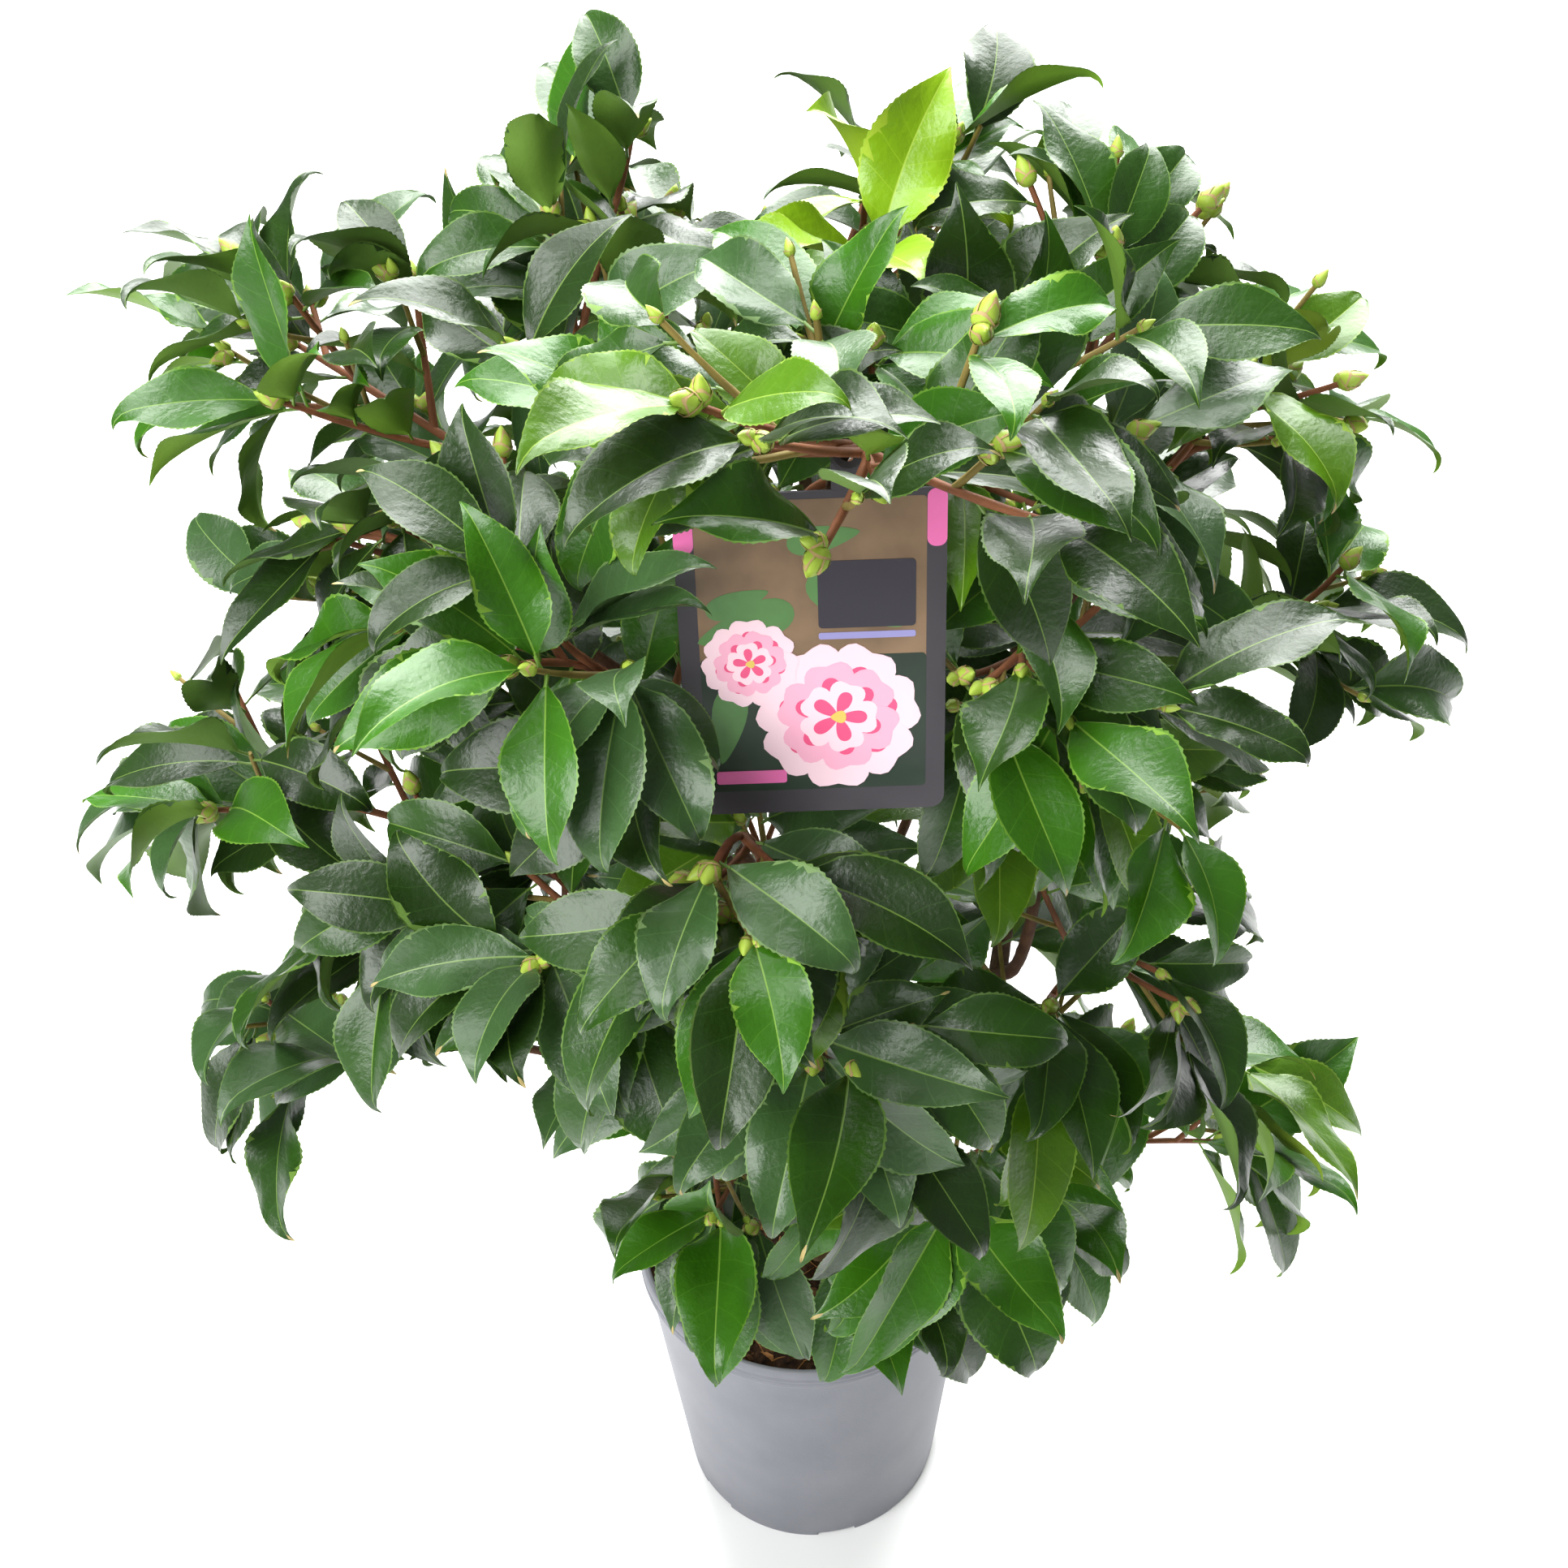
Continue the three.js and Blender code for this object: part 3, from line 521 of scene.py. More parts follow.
label.piece("picture_label_finish", [
    paint("card_charcoal", (62, 58, 64), 0.38, bump=0.0),
    paint("card_umber", (158, 128, 98), 0.3, 0.2, 30, second=(104, 82, 60)),
    paint("card_forest", (36, 52, 40), 0.3, 0.2, 40),
    paint("card_leaf", (86, 130, 72), 0.3, 0.15, 60),
    paint("card_petal_pale", (250, 214, 226), 0.3),
    paint("card_petal_light", (246, 176, 202), 0.3),
    paint("card_petal_deep", (234, 84, 132), 0.3),
    paint("card_yellow", (226, 196, 96), 0.3),
    paint("card_pink", (240, 116, 182), 0.3),
    paint("card_dark", (48, 44, 54), 0.3),
    paint("card_lilac", (150, 146, 200), 0.3),
], ["picture_label"], smooth=False)


# ------------------------------------------------------------------ pot and soil
def inner_radius(z):
    return POT["foot"] + (POT["neck"] - POT["foot"]) * min(z, POT["height"] - POT["lip"]) / 186 - POT["wall"]


def turned(build, profile, turns, number=0, lift=None):
    """Surface turned about +Z; lift gives other heights where the foot is notched."""
    rows = []
    for i, (r, z) in enumerate(profile):
        heights = np.full(len(turns), float(z))
        if lift is not None:
            heights = np.maximum(heights, lift[i])
        rows.append(np.column_stack([r * np.cos(turns), r * np.sin(turns), heights]))
    build.grid(np.array(rows)[:, ::-1], number, around=True)


pot = Build()
half_notch = math.atan2(NOTCH["width"] / 2, POT["foot"])
turns = set(np.round(np.linspace(0, 2 * math.pi, 145)[:-1], 6))
notch_turns = [math.radians(NOTCH["first"] + 60 * i) % (2 * math.pi) for i in range(NOTCH["count"])]
for middle in notch_turns:
    turns = {t for t in turns if abs(abs((t - middle + math.pi) % (2 * math.pi) - math.pi) - half_notch) > 0.02}
    for edge in (-half_notch, half_notch):
        turns |= {(middle + edge - 0.0015) % (2 * math.pi), (middle + edge + 0.0015) % (2 * math.pi)}
turns = np.array(sorted(turns))
in_notch = np.zeros(len(turns), bool)
for middle in notch_turns:
    in_notch |= abs((turns - middle + math.pi) % (2 * math.pi) - math.pi) < half_notch
under = POT["height"] - POT["lip"]
outside = [
    (0.01, 0.4), (66.9, 0.4), (67, 0.4), (73.6, 0), (75, 0.35), (75.7, 1), (76, 2), (76.3, 5), (80, 47), (84.3, 95),
    (88.4, 142), (91.9, 182), (92.3, under - 0.4), (93.6, under + 0.2), (94.6, under + 0.9), (95, under + 2),
    (95, under + 4.2), (94.5, under + 4.7), (94.5, under + 5.3), (95.1, under + 5.8), (95.2, under + 7.2),
    (94.4, under + 7.8), (94.4, under + 8.8), (95, under + 9.4), (94.9, 196.6), (94.5, 197.8), (94.1, 198.8),
    (93.7, 199.6), (93.1, 200), (91.9, 199.8), (90.8, 199), (90.4, 197.6), (90.4, under), (inner_radius(120), 120),
    (inner_radius(6), 6),
]
lift = [np.zeros(len(turns)) if r < 66.95 or r > 76.2 or (i > 8) else np.where(in_notch, NOTCH["height"], 0.0)
        for i, (r, z) in enumerate(outside)]
turned(pot, outside, turns, 0, lift)
pot.piece("pot_finish", [
    paint("pot_grey", (115, 117, 124), 0.52, 0.04, 22, 0.2, 620, 0.4, second=(122, 123, 130)),
], ["pot"])

soil = Build()
chance = stream(SEED + 5)
ring_r = np.linspace(0.5, inner_radius(SOIL["edge"]) - 0.2, 64)
ring_a = np.linspace(0, 2 * math.pi, 161)[:-1]
rr, aa = np.meshgrid(ring_r, ring_a, indexing="ij")
heap = np.interp(rr, [0, SOIL["flat"], 62, 89], [182, 182, 180.4, 178.6])
for k in range(26):
    fx, fy, phase = 0.9 * (next(chance) - 0.5), 0.9 * (next(chance) - 0.5), 6.3 * next(chance)
    heap = heap + 0.28 * np.sin(fx * rr * np.cos(aa) + fy * rr * np.sin(aa) + phase)
soil.grid(np.stack([rr * np.cos(aa), rr * np.sin(aa), heap], -1), 0, around=True)
turned(soil, [(74, 4.2), (inner_radius(176) - 0.2, 176), (inner_radius(178.4) - 0.2, 178.4)], ring_a, 0)
GOLD = (1 + 5 ** 0.5) / 2
CORNERS = np.array([(-1, GOLD, 0), (1, GOLD, 0), (-1, -GOLD, 0), (1, -GOLD, 0), (0, -1, GOLD), (0, 1, GOLD),
                    (0, -1, -GOLD), (0, 1, -GOLD), (GOLD, 0, -1), (GOLD, 0, 1), (-GOLD, 0, -1), (-GOLD, 0, 1)]) / 1.9
SIDES = [(0, 11, 5), (0, 5, 1), (0, 1, 7), (0, 7, 10), (0, 10, 11), (1, 5, 9), (5, 11, 4), (11, 10, 2), (10, 7, 6),
         (7, 1, 8), (3, 9, 4), (3, 4, 2), (3, 2, 6), (3, 6, 8), (3, 8, 9), (4, 9, 5), (2, 4, 11), (6, 2, 10),
         (8, 6, 7), (9, 8, 1)]
for k in range(620):
    reach, turn = 86 * math.sqrt(next(chance)), 6.2832 * next(chance)
    size = 0.8 + 2.6 * next(chance) ** 2
    stretch = np.array([1 + next(chance), 0.6 + 0.6 * next(chance), 0.5 + 0.5 * next(chance)]) * size
    spin = np.array(Matrix.Rotation(6.28 * next(chance), 3, "Z") @ Matrix.Rotation(2 * next(chance), 3, "X"))
    level = np.interp(reach, [0, 40, 62, 89], [182, 182, 180.4, 178.6]) + 0.4
    jag = np.array([0.75 + 0.5 * next(chance) for _ in range(12)])
    lump = (CORNERS * jag[:, None] * stretch) @ spin.T + [reach * math.cos(turn), reach * math.sin(turn), level]
    soil.add(lump, SIDES, 1 if next(chance) < 0.4 else (2 if next(chance) < 0.3 else 0))
for k in range(260):
    reach, turn, heading = 84 * math.sqrt(next(chance)), 6.2832 * next(chance), 6.2832 * next(chance)
    span, arch = 5 + 12 * next(chance), 0.6 + 1.6 * next(chance)
    s = np.linspace(-0.5, 0.5, 5)
    level = np.interp(reach, [0, 40, 62, 89], [182, 182, 180.4, 178.6]) + 0.6
    swerve = heading + 1.2 * (next(chance) - 0.5) * s
    strand = np.stack([reach * math.cos(turn) + span * s * np.cos(swerve),
                       reach * math.sin(turn) + span * s * np.sin(swerve), level + arch * (1 - 4 * s * s)], 1)
    if np.linalg.norm(strand[:, :2], axis=1).max() < inner_radius(180) - 1:
        tube(soil, strand, 0.32, 4, 2)
soil.piece("soil_finish", [
    paint("soil_dark", (44, 31, 23), 0.95, 0.35, 260, 0.9, 900, 0.15, second=(72, 50, 34)),
    paint("soil_brown", (84, 58, 38), 0.95, 0.25, 300, 0.6, 900, 0.15),
    paint("soil_fibre", (150, 104, 62), 0.9, 0.2, 300, 0.3, 900, 0.2),
], ["soil"], smooth=False)

# ------------------------------------------------------------------ one leaf
OUTLINE_T = [0, 0.06, 0.15, 0.28, 0.42, 0.55, 0.68, 0.78, 0.86, 0.92, 0.96, 1]
OUTLINE_W = [0.03, 0.24, 0.58, 0.88, 1, 0.95, 0.75, 0.49, 0.26, 0.13, 0.07, 0]
VEINS = 5
DRY_FROM = 0.92
DRY_SHARE = 0.13
RIB = 0.006
EDGE = 0.968


def half_width(t):
    t = np.clip(t, 0, 1)
    smooth = sum(np.interp(t + d, OUTLINE_T, OUTLINE_W) for d in (-0.025, 0, 0.025)) / 3
    return 0.5 * np.where(t > 0.99, smooth * (1 - t) * 100, smooth)


def leaf_template():
    """Shares of length and half width, ribs and raises of the points of a leaf, and its faces."""
    t_vein = [0.11 + 0.145 * k for k in range(VEINS)]
    rows = [(0.0, 0)]
    for k, t in enumerate(t_vein):
        rows += [(t - 0.0022, 1), (t + 0.0022, 0)]
        if k < VEINS - 1:
            rows.append((t + 0.0725, 0))
    rows += [(0.79, 0), (0.86, 0), (0.92, 0), (0.965, 0), (1.0, 0)]
    points, faces, paints, at_tip = [], [], [], []

    def forward(t, s):
        return min(t + 0.14 * abs(s) * (4 * t * (1 - t)) ** 0.7, 1)

    columns = (-1, -EDGE, -0.5, -0.0001, 0.0001, 0.5, EDGE, 1)
    for i, (t, vein) in enumerate(rows):
        near_vein = vein or (i > 0 and rows[i - 1][1])
        for c, s in enumerate(columns):
            across = RIB * (1 - 0.6 * t) * (-1 if c == 3 else 1) if c in (3, 4) else 0
            raised = (-0.0015 if near_vein else 0.0035) if abs(s) == 0.5 and 0.05 < t < 0.8 else 0
            points.append((forward(t, s), s if abs(s) > 0.01 else 0, across, raised))
    width = len(columns)
    for i in range(len(rows) - 1):
        wide = rows[i + 1][0] - rows[i][0] > 0.02
        dry = rows[i][0] >= DRY_FROM
        for c in range(width - 1):
            a, b = i * width + c, (i + 1) * width + c
            kind = 4 if c in (0, 6) else (1 if c == 3 else (2 if rows[i][1] else 0))
            if c in (0, 6) and wide:
                inner, outer, sign = (c + 1, c, -1) if c == 0 else (c, c + 1, 1)
                t0, t1 = points[i * width + outer][0], points[(i + 1) * width + outer][0]
                edge = [i * width + outer]
                for share, s in ((0.34, 1.035), (0.5, 0.99), (0.84, 1.035)):
                    edge.append(len(rows) * width + sum(1 for p in points[len(rows) * width:]))
                    points.append((t0 + (t1 - t0) * share, sign * s, 0, 0))
                edge.append((i + 1) * width + outer)
                ia, ib = i * width + inner, (i + 1) * width + inner
                fan = [(ia, edge[0], edge[1]), (ia, edge[1], edge[2]), (ia, edge[2], ib),
                       (ib, edge[2], edge[3]), (ib, edge[3], edge[4])]
                faces += fan if sign < 0 else [f[::-1] for f in fan]
                paints += [kind] * 5
                at_tip += [dry] * 5
            else:
                faces += [(a, b, b + 1), (a, b + 1, a + 1)]
                paints += [kind] * 2
                at_tip += [dry] * 2
    first = len(points)
    back_rows = [0.0] + [v for t in t_vein for v in (t, t + 0.0725)][:-1] + [0.79, 0.86, 0.92, 0.965, 1.0]
    for t in back_rows:
        for s in (-1, -0.5, 0, 0.5, 1):
            drop = -0.005 * (1 - abs(s)) ** 0.5 - (0.008 * (1 - t) if s == 0 else 0)
            points.append((forward(t, s), s, 0, drop if t < 1 else 0))
    for i in range(len(back_rows) - 1):
        for c in range(4):
            a, b = first + i * 5 + c, first + (i + 1) * 5 + c
            faces += [(a, b + 1, b), (a, a + 1, b + 1)]
            paints += [3, 3]
            at_tip += [back_rows[i] >= DRY_FROM] * 2
    return np.array(points).T, np.array(faces), np.array(paints), np.array(at_tip)


LEAF_POINTS, LEAF_FACES, LEAF_PAINTS, TIP_FACES = leaf_template()
DRY_PAINTS = np.where(TIP_FACES, 5, LEAF_PAINTS)
probe_t, probe_s = np.meshgrid([0.03, 0.2, 0.4, 0.6, 0.78, 0.9, 1.0], [-1, 0, 1], indexing="ij")
PROBE = np.stack([probe_t.ravel(), probe_s.ravel(), 0 * probe_t.ravel(), 0 * probe_t.ravel()])
PROBE_FACES = [f for i in range(6) for c in range(2)
               for f in ((3 * i + c, 3 * i + 3 + c, 3 * i + 4 + c), (3 * i + c, 3 * i + 4 + c, 3 * i + 1 + c))]
FINE_T = np.linspace(0, 1, 33)


class Leaf:
    """One leaf: where its stalk starts, the way it points, its size and its bends."""

    def __init__(self, root, way, sky, length, roll, random, tint):
        side = np.cross(sky, way)
        if np.linalg.norm(side) < 0.25:
            side = np.cross([way[0], way[1] - 0.5, 0.3], way)
        side = unit(side)
        face = np.cross(way, side)
        c, s = math.cos(roll), math.sin(roll)
        self.way, self.side, self.face = way, side * c + face * s, face * c - side * s
        self.root, self.length, self.tint = root, length, tint
        self.base = root + way * STALK * length + UP * 0.012 * length
        self.blade = length * (1 - STALK)
        level = math.sqrt(max(1 - way[2] ** 2, 0))
        self.bend = (0.2 + 0.95 * random()) * (0.35 + 0.65 * level)
        self.curl = (0.4 + 1.6 * random() ** 1.3) * (0.4 + 0.6 * level)
        self.sway = 0.8 * (random() - 0.5)
        self.twist = 1.1 * (random() - 0.5)
        self.fold = 0.16 + 0.62 * random()
        self.wave, self.phase = 0.08 + 0.24 * random() ** 1.5, 6.28 * random()
        self.dry = random() < DRY_SHARE
        self.width = LEAF["width"] * (0.92 + 0.2 * random())
        pitch = self.bend * FINE_T ** 1.4 + self.curl * np.clip((FINE_T - 0.76) / 0.24, 0, 1) ** 1.6
        yaw = self.sway * (FINE_T - 0.25)
        self.ways = np.stack([np.cos(pitch) * np.cos(yaw), np.cos(pitch) * np.sin(yaw), -np.sin(pitch)])
        steps = (self.ways[:, 1:] + self.ways[:, :-1]) / 64
        self.spine = np.concatenate([np.zeros((3, 1)), np.cumsum(steps, axis=1)], axis=1)
        self.pitch, self.yaw = pitch, yaw

    def points(self, shares):
        t, s, across, raised = shares
        centre = np.stack([np.interp(t, FINE_T, row) for row in self.spine])
        pitch, yaw = np.interp(t, FINE_T, self.pitch), np.interp(t, FINE_T, self.yaw)
        side = np.stack([-np.sin(yaw), np.cos(yaw), 0 * yaw])
        face = np.stack([np.sin(pitch) * np.cos(yaw), np.sin(pitch) * np.sin(yaw), np.cos(pitch)])
        turn = self.twist * t
        side, face = side * np.cos(turn) + face * np.sin(turn), face * np.cos(turn) - side * np.sin(turn)
        half = half_width(t) * self.width
        out = half * s * math.cos(0.6 * self.fold) + across
        rise = half * abs(s) * (math.sin(self.fold) - 0.35 * self.fold * abs(s)) + raised
        rise = rise + self.wave * half * s * s * np.sin(9 * t + self.phase + 0.9 * np.sign(s))
        local = (centre + side * out + face * rise) * self.blade
        return self.base + local.T @ np.array([self.way, self.side, self.face])


# ------------------------------------------------------------------ twigs
CRUDE = Build()
CRUDE.add(*wood.arrays()[:2])
CRUDE.add(*label.arrays()[:2])
CRUDE.add(*pot.arrays()[:2])
SOLIDS = CRUDE.tree()


def in_space(shoot, points, slack):
    """Under the crown's top, inside the plant's box and near the shoot's own part of the crown."""
    points = np.asarray(points)
    if (points < LOW + 1).any() or (points > HIGH - 1).any():
        return False
    near = (np.hypot(points[:, 0], points[:, 1]) < 94) & (points[:, 2] < 186)
    if near.any():
        return False
    for other in shoots:
        if other is not shoot:
            towards = other["middle"] - shoot["middle"]
            if ((points - (shoot["middle"] + other["middle"]) / 2) @ unit(towards) > slack).any():
                return False
    return True


twigs = []


def add_twig(shoot, points, start, end, rank, first_at, slack=SLACK, tint=None):
    knots = np.asarray(points)
    shell = Build()
    tube(shell, knots, np.linspace(start, end, len(knots)), 5)
    twigs.append(dict(shoot=shoot, points=knots, radii=(start, end), rank=rank, first_at=first_at,
                      slack=slack, tint=tint, tree=shell.tree(), centre=knots.mean(axis=0),
                      reach=np.linalg.norm(knots[-1] - knots[0]) / 2 + 3))


def twig_at(twig, share):
    """Point and direction at a share of a twig's length."""
    steps = np.linalg.norm(np.diff(twig["points"], axis=0), axis=1)
    far = np.concatenate([[0], np.cumsum(steps)])
    place = min(max(share, 0), 1) * far[-1]
    i = min(int(np.searchsorted(far, place, "right")) - 1, len(steps) - 1)
    way = (twig["points"][i + 1] - twig["points"][i]) / steps[i]
    return twig["points"][i] + way * (place - far[i]), way, far[-1]


def try_twig(shoot, root, axis, turn, angle, rise, length, start, end, rank, bow=0.1):
    for attempt in range(TWIG["tries"]):
        way = unit(tipped(axis, turn + 80 * attempt, angle) + UP * rise)
        span = length * (1 - 0.16 * attempt)
        tip = root + way * span
        s = np.linspace(0, 1, 5)[:, None]
        knots = root + way * span * s + UP * (bow * span * s * s)
        if not in_space(shoot, knots[1:], SLACK * 0.5) or hides_card(knots, shoot["name"]) or in_sky(knots):
            continue
        hit = SOLIDS.ray_cast(root + way * 6, way, span)
        if hit[0] is None:
            add_twig(shoot, knots, start, end, rank, 0.2)
            return True
    return False


for shoot in shoots:
    start = shoot["share"]
    t = np.linspace(start, 1, 12)
    begin = BOUGH["tip"] if start else 2.6
    add_twig(shoot, shoot["curve"].at(t), begin, LEADER_TIP, 0, 0.4)
for host, place, bearing, reach, height, tint in SPRAYS.values():
    shoot = next(s for s in shoots if s["name"] == host)
    leader = next(t for t in twigs if t["shoot"] is shoot and t["rank"] == 0)
    root, axis, _ = twig_at(leader, place)
    tip = placed(bearing, reach, height)
    span = np.linalg.norm(tip - root)
    arrive = unit(unit(tip - root) + 0.5 * UP)
    sweep = Curve(root, root + axis * 0.3 * span, tip - arrive * 0.3 * span, tip)
    add_twig(shoot, sweep.at(np.linspace(0, 1, 9)), TWIG["radius"], LEADER_TIP, 0, 0.35, SPRAY_SLACK, tint)
for shoot in shoots:
    number = shoot["number"]
    random = stream(SEED + 97 * number).__next__
    leader = next(t for t in twigs if t["shoot"] is shoot and t["rank"] == 0)
    for k in range(TWIG["count"]):
        root, axis, _ = twig_at(leader, 0.1 + 0.72 * k / (TWIG["count"] - 1))
        length = TWIG["length"] * (1.1 - 0.14 * k) * (0.85 + 0.3 * random())
        try_twig(shoot, root, axis, 60 + GOLDEN * k + 30 * number, TWIG["angle"], TWIG["rise"], length,
                 TWIG["radius"], TWIG["tip"], 1)
    if shoot["share"]:
        for k, place in enumerate(ON_BOUGH["places"]):
            t = place * shoot["share"]
            try_twig(shoot, shoot["curve"].at(t), shoot["curve"].way(t), 200 + GOLDEN * k + 30 * number, 55,
                     TWIG["rise"], ON_BOUGH["length"] * (0.85 + 0.3 * random()), TWIG["radius"], TWIG["tip"], 2)
    for twig in [t for t in twigs if t["shoot"] is shoot and t["rank"] in (1, 2)]:
        for k, place in enumerate(FINE["places"]):
            root, axis, _ = twig_at(twig, place)
            try_twig(shoot, root, axis, 360 * random(), FINE["angle"], 0.15,
                     FINE["length"] * (0.8 + 0.4 * random()), FINE["radius"], FINE["tip"], 3)

# ------------------------------------------------------------------ leaves
leaves = []
centres = np.empty((6000, 3))
reaches = np.empty(6000)
twig_centres = np.array([t["centre"] for t in twigs])
twig_reaches = np.array([t["reach"] for t in twigs])
# Leaf tints, dealt by spray. The fourth, bluish-grey tint is a painted sheen: a paler grey-green that stands in for
# the sky's reflection on glossy leaves.
TINTS = ("deep", "mid", "vivid", "painted_sheen_tint", "olive", "fresh")


def leaf_length(z):
    share = min(max((z - LEAF["low_height"]) / (LEAF["high_height"] - LEAF["low_height"]), 0), 1)
    return LEAF["low"] + (LEAF["high"] - LEAF["low"]) * share


def try_leaf(twig, root, axis, turn, angle, random, tint, size=1.0):
    shoot = twig["shoot"]
    out = root * [1, 1, 0]
    out = out / max(np.linalg.norm(out), 120)
    sky = unit(UP + out * (0.85 if root[2] < 690 else 0.45))
    for k in range(LEAF["tries"]):
        way = tipped(axis, turn + 47 * k, angle + 12 * (random() - 0.5))
        way = unit(way - UP * min(max(0.55 - (root[2] - 330) / 1000, 0.08), 0.55) + 0.18 * out)
        length = leaf_length(root[2]) * (0.84 + 0.26 * random()) * (1 - 0.035 * k) * size
        leaf = Leaf(root, way, sky, length, math.radians(50 * (random() - 0.5)), random, tint)
        probe = leaf.points(PROBE)
        if not in_space(shoot, probe, twig["slack"]) or hides_card(probe, shoot["name"]) or in_sky(probe):
            continue
        tree = BVHTree.FromPolygons(probe.tolist(), PROBE_FACES)
        if tree.overlap(SOLIDS):
            continue
        centre = probe.mean(axis=0)
        reach = np.linalg.norm(probe - centre, axis=1).max()
        count = len(leaves)
        near = np.nonzero(np.linalg.norm(centres[:count] - centre, axis=1) < reaches[:count] + reach)[0]
        if any(tree.overlap(leaves[i].tree) for i in near):
            continue
        near = np.nonzero(np.linalg.norm(twig_centres - centre, axis=1) < twig_reaches + reach)[0]
        if any(twigs[i] is not twig and tree.overlap(twigs[i]["tree"]) for i in near):
            continue
        leaf.tree = tree
        centres[count], reaches[count] = centre, reach
        leaves.append(leaf)
        return True
    return False


def spray_tint(twig, random):
    """One tint for all the leaves of a spray: bluer and deeper to the left, brighter to the right and low down.
    The deeper tints on the left are painted shade, the brighter ones on the right are painted light, and the
    bluish-grey tint, most common low on the left, is a painted sheen.
    """
    x, y, z = twig["points"][-1]
    pick = random()
    if x > -60 and z > 700 and pick < 0.03:
        return 5
    if x > -60 and pick < 0.1:
        return 4
    # Painted light on the right: mostly the brighter tints.
    if x > 20:
        return 2 if pick < 0.5 else (1 if pick < 0.8 else 0)
    # Painted sheen low on the left: mostly the bluish-grey tint.
    if z < 560:
        return 0 if pick < 0.2 else (3 if pick < 0.68 else (1 if pick < 0.9 else 2))
    # Painted shade high on the left: mostly the deepest tint.
    return 0 if pick < 0.45 else (3 if pick < 0.62 else (1 if pick < 0.9 else 2))


for index, twig in enumerate(twigs):
    twig["random"] = stream(SEED * 3 + 41 * index).__next__
    picked = spray_tint(twig, twig["random"])
    twig["tint"] = picked if twig["tint"] is None else twig["tint"]
for rank in (0, 1, 2, 3):
    for index, twig in enumerate(twigs):
        if twig["rank"] != rank:
            continue
        _, _, span = twig_at(twig, 0)
        count = LEAF["whorl"] if rank < 2 else 3
        for k in range(count):
            root, axis, _ = twig_at(twig, 1 - (1.5 + LEAF["crowd"] * k) / span)
            try_leaf(twig, root, axis, 25 * index + 40 + 360 / count * k * 2, 20 if k == 0 else 62,
                     twig["random"], twig["tint"])
for rank in (0, 1, 2, 3):
    for index, twig in enumerate(twigs):
        if twig["rank"] != rank:
            continue
        _, _, span = twig_at(twig, 0)
        first = twig["first_at"]
        nodes = int((span * (1 - first) - 12) / LEAF["spacing"])
        for k in range(nodes):
            root, axis, _ = twig_at(twig, first + (1 - first) * (k + 0.35) / (nodes + 0.6))
            try_leaf(twig, root, axis, 90 * index + GOLDEN * k, 58, twig["random"], twig["tint"], 0.95)
print("leaves", len(leaves), "twigs", len(twigs))

# Face, vein and underside colours of each tint. The undersides are the leaf's own paler yellow-green, made brighter
# as painted light shining through the leaf.
TINT_PAINTS = {
    "deep": ((26, 50, 8), (44, 74, 22), (92, 124, 52)),
    "mid": ((34, 68, 8), (54, 92, 24), (100, 134, 50)),
    "vivid": ((46, 94, 8), (70, 118, 24), (112, 150, 46)),
    # The fourth tint is painted sheen: a paler grey-green in place of the sky's reflection.
    "painted_sheen_tint": ((52, 82, 40), (70, 104, 56), (104, 132, 80)),
    "olive": ((68, 106, 8), (92, 128, 26), (126, 156, 46)),
    "fresh": ((120, 158, 14), (144, 176, 40), (152, 178, 46)),
}
for number, name in enumerate(TINTS):
    blades = Build()
    for leaf in leaves:
        if leaf.tint == number:
            blades.add(leaf.points(LEAF_POINTS), LEAF_FACES, DRY_PAINTS if leaf.dry else LEAF_PAINTS)
            stalk = [leaf.root, (leaf.root + leaf.base) / 2 - UP * 0.3, leaf.base + leaf.way * 0.8]
            tube(blades, stalk, [0.95, 0.7, 0.75], 4, 1)
    face, vein, back = TINT_PAINTS[name]
    blades.piece("leaves_" + name, [
        paint(name + "_blade", face, 0.34, 0.16, 40, 0.5, 420, 0.5),
        paint(name + "_rib", tuple(0.6 * v + 0.4 * p for v, p in zip(vein, (158, 180, 84))), 0.42),
        paint(name + "_vein", tuple(0.45 * f + 0.55 * v for f, v in zip(face, vein)), 0.38),
        # Underside: the leaf's own paler colour, brightened as painted light shining through the leaf.
        paint(name + "_back", back, 0.6, 0.1, 35, 0.2, 600, 0.3),
        paint(name + "_edge", tuple(0.45 * v + 0.3 * f + 0.25 * p for f, v, p in zip(face, vein, (158, 180, 84))),
              0.42),
        paint(name + "_dry", (178, 160, 104), 0.6, 0.2, 90),
    ], MASSES)

stalks = Build()
for index, twig in enumerate(twigs):
    start, end = twig["radii"]
    _, _, span = twig_at(twig, 0)
    shares = np.linspace(0, 1, max(int(span / 5), 5))
    knots = np.array([twig_at(twig, s)[0] for s in shares])
    bump = bark_relief(60 + index, 0.12, 3, max(int(span / 14), 2))
    tube(stalks, knots, start + (end - start) * shares, 7, 0 if twig["rank"] < 2 else 1, bump)
stalks.piece("twigs", [
    paint("twig_brown", (122, 74, 46), 0.7, 0.15, 150, 0.3, 900, 0.35),
    paint("twig_young", (124, 108, 52), 0.65, 0.15, 150, 0.2, 900, 0.35),
], MASSES)


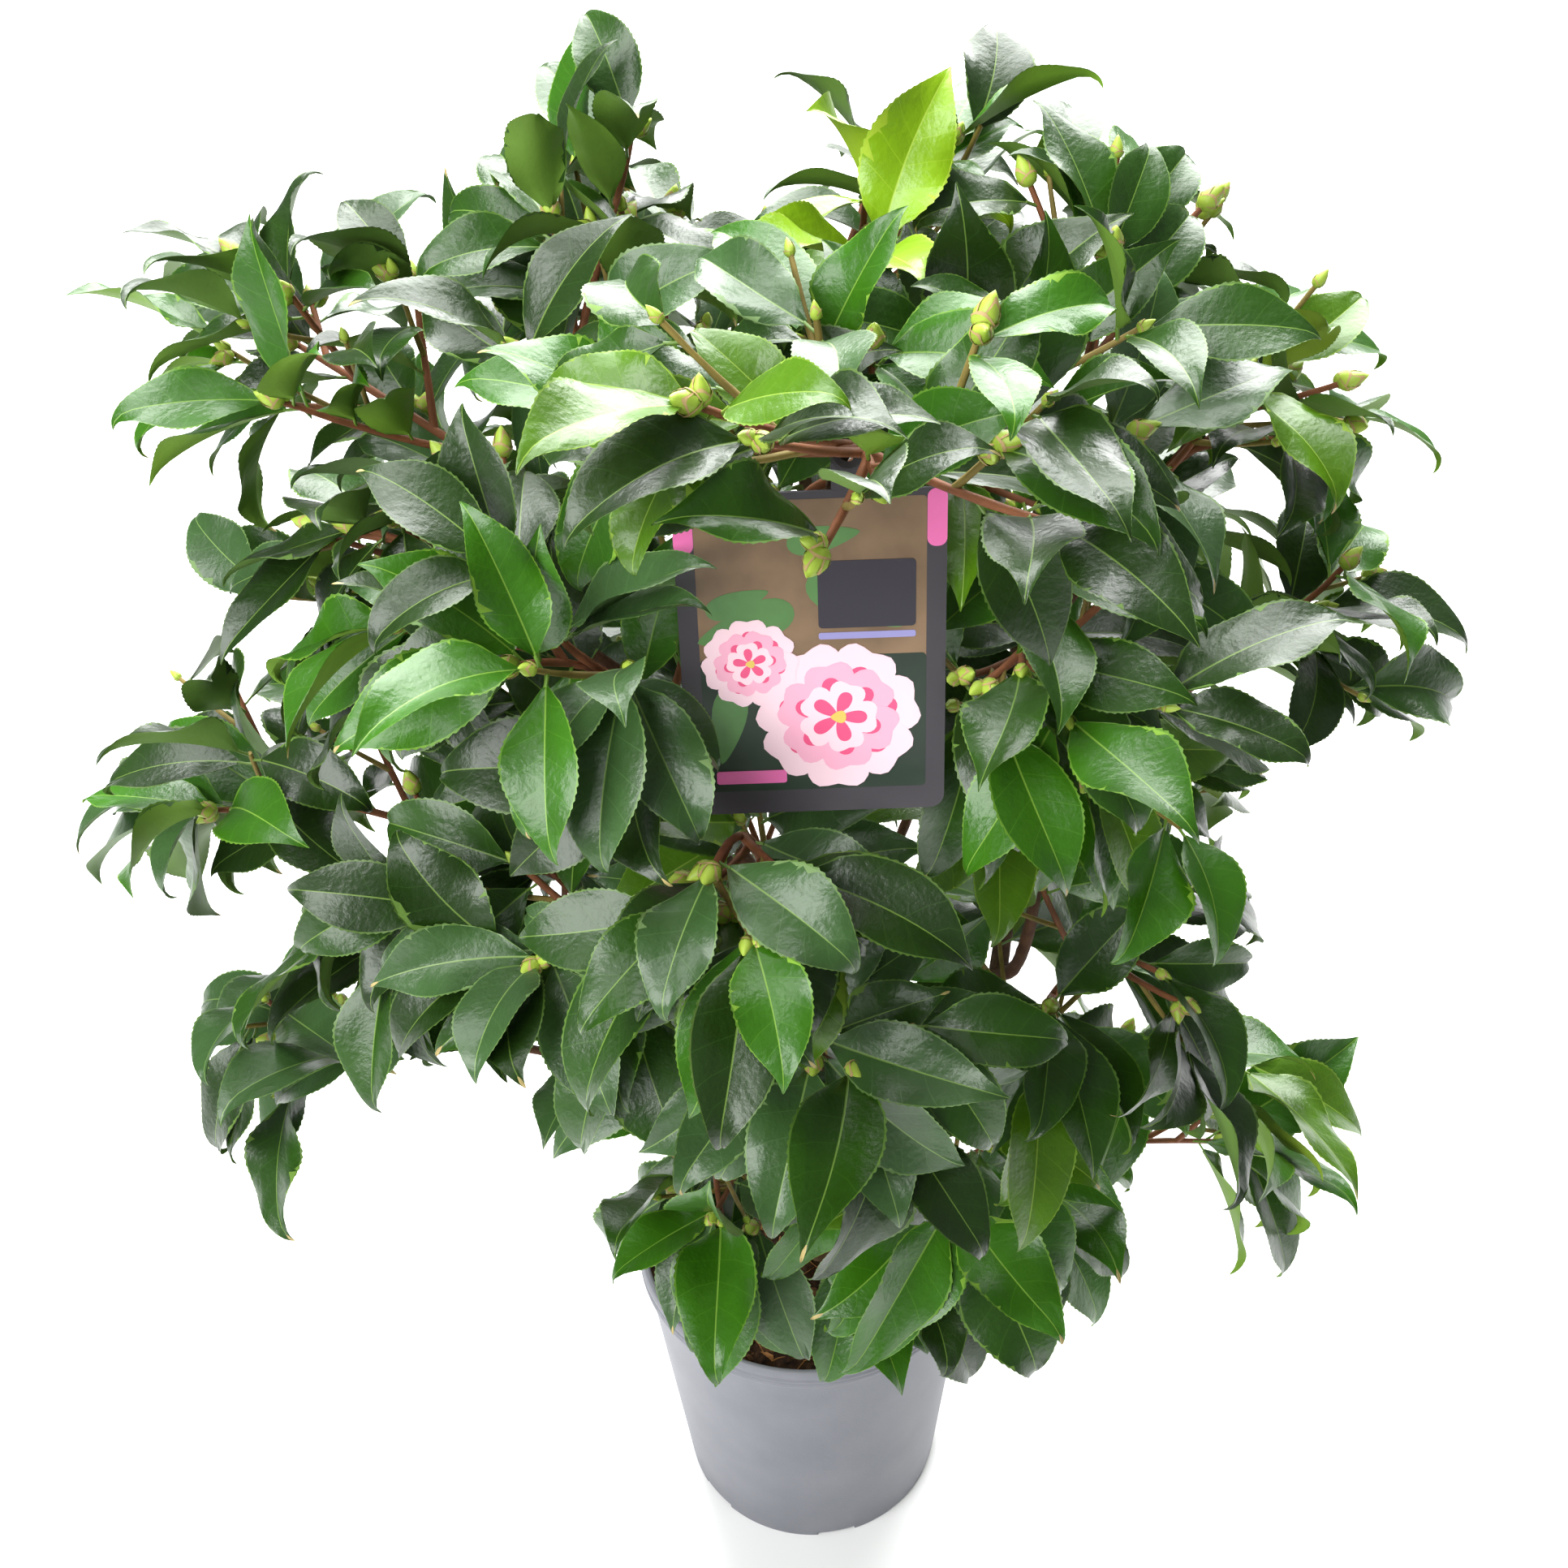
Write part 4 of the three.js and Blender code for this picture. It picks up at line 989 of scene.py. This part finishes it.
# ------------------------------------------------------------------ buds
def bud(build, root, way, length, girth, turn):
    """Plump pointed bud wrapped in scales with dry edges."""
    side = unit(np.cross(way, [1, 0, 0] if abs(way[2]) > 0.9 else UP))
    other = np.cross(way, side)

    def shell(u, a, raised):
        reach = girth * np.sin(np.pi * np.clip(u, 0, 1) ** 0.72) ** 0.8 * (1 - 0.18 * u) + raised
        return (root + np.multiply.outer(u * length, way) + (reach * np.cos(a))[..., None] * side
                + (reach * np.sin(a))[..., None] * other)

    big = girth > 3
    u, a = np.meshgrid(np.linspace(0, 1, 8), np.linspace(0, 2 * math.pi, 9)[:-1], indexing="ij")
    build.grid(shell(u, a, 0.0 * u)[:, ::-1], 0, around=True)
    for k in range(0, 6, 1 if big else 2):
        high = 0.36 + 0.11 * k
        middle = math.radians(turn + 137.5 * k)
        spread = 1.35 - 0.1 * k
        for low_v, high_v, lift_by, number in ((0, 0.86, 0.16, 0), (0.86, 1, 0.2, 1)):
            v = np.linspace(low_v, high_v, 4 if number == 0 else 2)
            w = np.linspace(-1, 1, 6 if big else 5)
            vv, ww = np.meshgrid(v, w, indexing="ij")
            crest = high * (1 - 0.42 * abs(ww) ** 1.7)
            build.grid(shell(vv * crest, middle + ww * spread, lift_by * (1 + 0.25 * (5 - k)) + 0 * vv)[:, ::-1],
                       number)


buds = Build()
for index, twig in enumerate(twigs):
    random = stream(SEED * 5 + 17 * index).__next__
    tip, axis, _ = twig_at(twig, 1)
    if twig["rank"] < 2 or random() < 0.4:
        big = random() < 0.6
        bud(buds, tip - axis * 0.8, axis, 13 if big else 9, 4 if big else 2.6, 360 * random())
        if random() < 0.5:
            way = unit(tipped(axis, 360 * random(), 52))
            bud(buds, tip - axis * 2, way, 11, 3.4, 360 * random())
    elif random() < 0.7:
        bud(buds, tip - axis * 0.6, axis, 7, 1.9, 360 * random())
buds.piece("buds", [
    paint("bud_green", (158, 182, 66), 0.45, 0.12, 120, 0.1, 600, 0.4),
    paint("bud_edge", (178, 150, 104), 0.6, 0.1, 200, 0.1, 600, 0.3),
], MASSES)

# ------------------------------------------------------------------ studio
mesh = bpy.data.meshes.new("floor")
mesh.from_pydata([(-8, -8, 0), (8, -8, 0), (8, 8, 0), (-8, 8, 0)], [], [(0, 1, 2, 3)])
floor = bpy.data.objects.new("floor", mesh)
mesh.materials.append(paint("floor_pale", (236, 236, 236), 0.9, specular=0.0))
bpy.context.scene.collection.objects.link(floor)


def soft_light(name, place, aim, size, power, colour=(1, 1, 1)):
    data = bpy.data.lights.new(name, "AREA")
    data.shape, data.size, data.energy, data.color = "DISK", size, power, colour
    lamp = bpy.data.objects.new(name, data)
    lamp.location = place
    back = unit(np.array(place, float) - np.array(aim, float))
    right = unit(np.cross([0, 1, 0.01], back))
    lamp.matrix_world = Matrix.Translation(place) @ Matrix(
        (right, np.cross(back, right), back)).transposed().to_4x4()
    bpy.context.scene.collection.objects.link(lamp)


soft_light("key", (-0.5, 0.3, 2.7), (0, 0, 0.5), 1.8, 52)
soft_light("rear", (0.3, 1.9, 2.2), (0, 0, 0.6), 3.0, 262)
soft_light("front", (-1.2, -1.5, 1.9), (0, 0, 0.35), 1.9, 86)
world = bpy.data.worlds.new("sky")
world.use_nodes = True
world.node_tree.nodes["Background"].inputs["Color"].default_value = (0.95, 0.98, 1, 1)
world.node_tree.nodes["Background"].inputs["Strength"].default_value = 0.2
bpy.context.scene.world = world

lens = bpy.data.cameras.new("view")
lens.sensor_width, lens.clip_start, lens.clip_end = 36, 0.05, 50
lens.lens = lens.sensor_width * VIEW["focal"] / VIEW["frame"]
camera = bpy.data.objects.new("view", lens)
eye = Matrix.Translation(np.array(VIEW["place"]) * 0.001)
camera.matrix_world = eye @ Matrix((RIGHTWARD, UPWARD, -AHEAD)).transposed().to_4x4()
bpy.context.scene.collection.objects.link(camera)
bpy.context.scene.camera = camera
bpy.context.scene.view_settings.view_transform = "Standard"
bpy.context.scene.view_settings.look = "None"
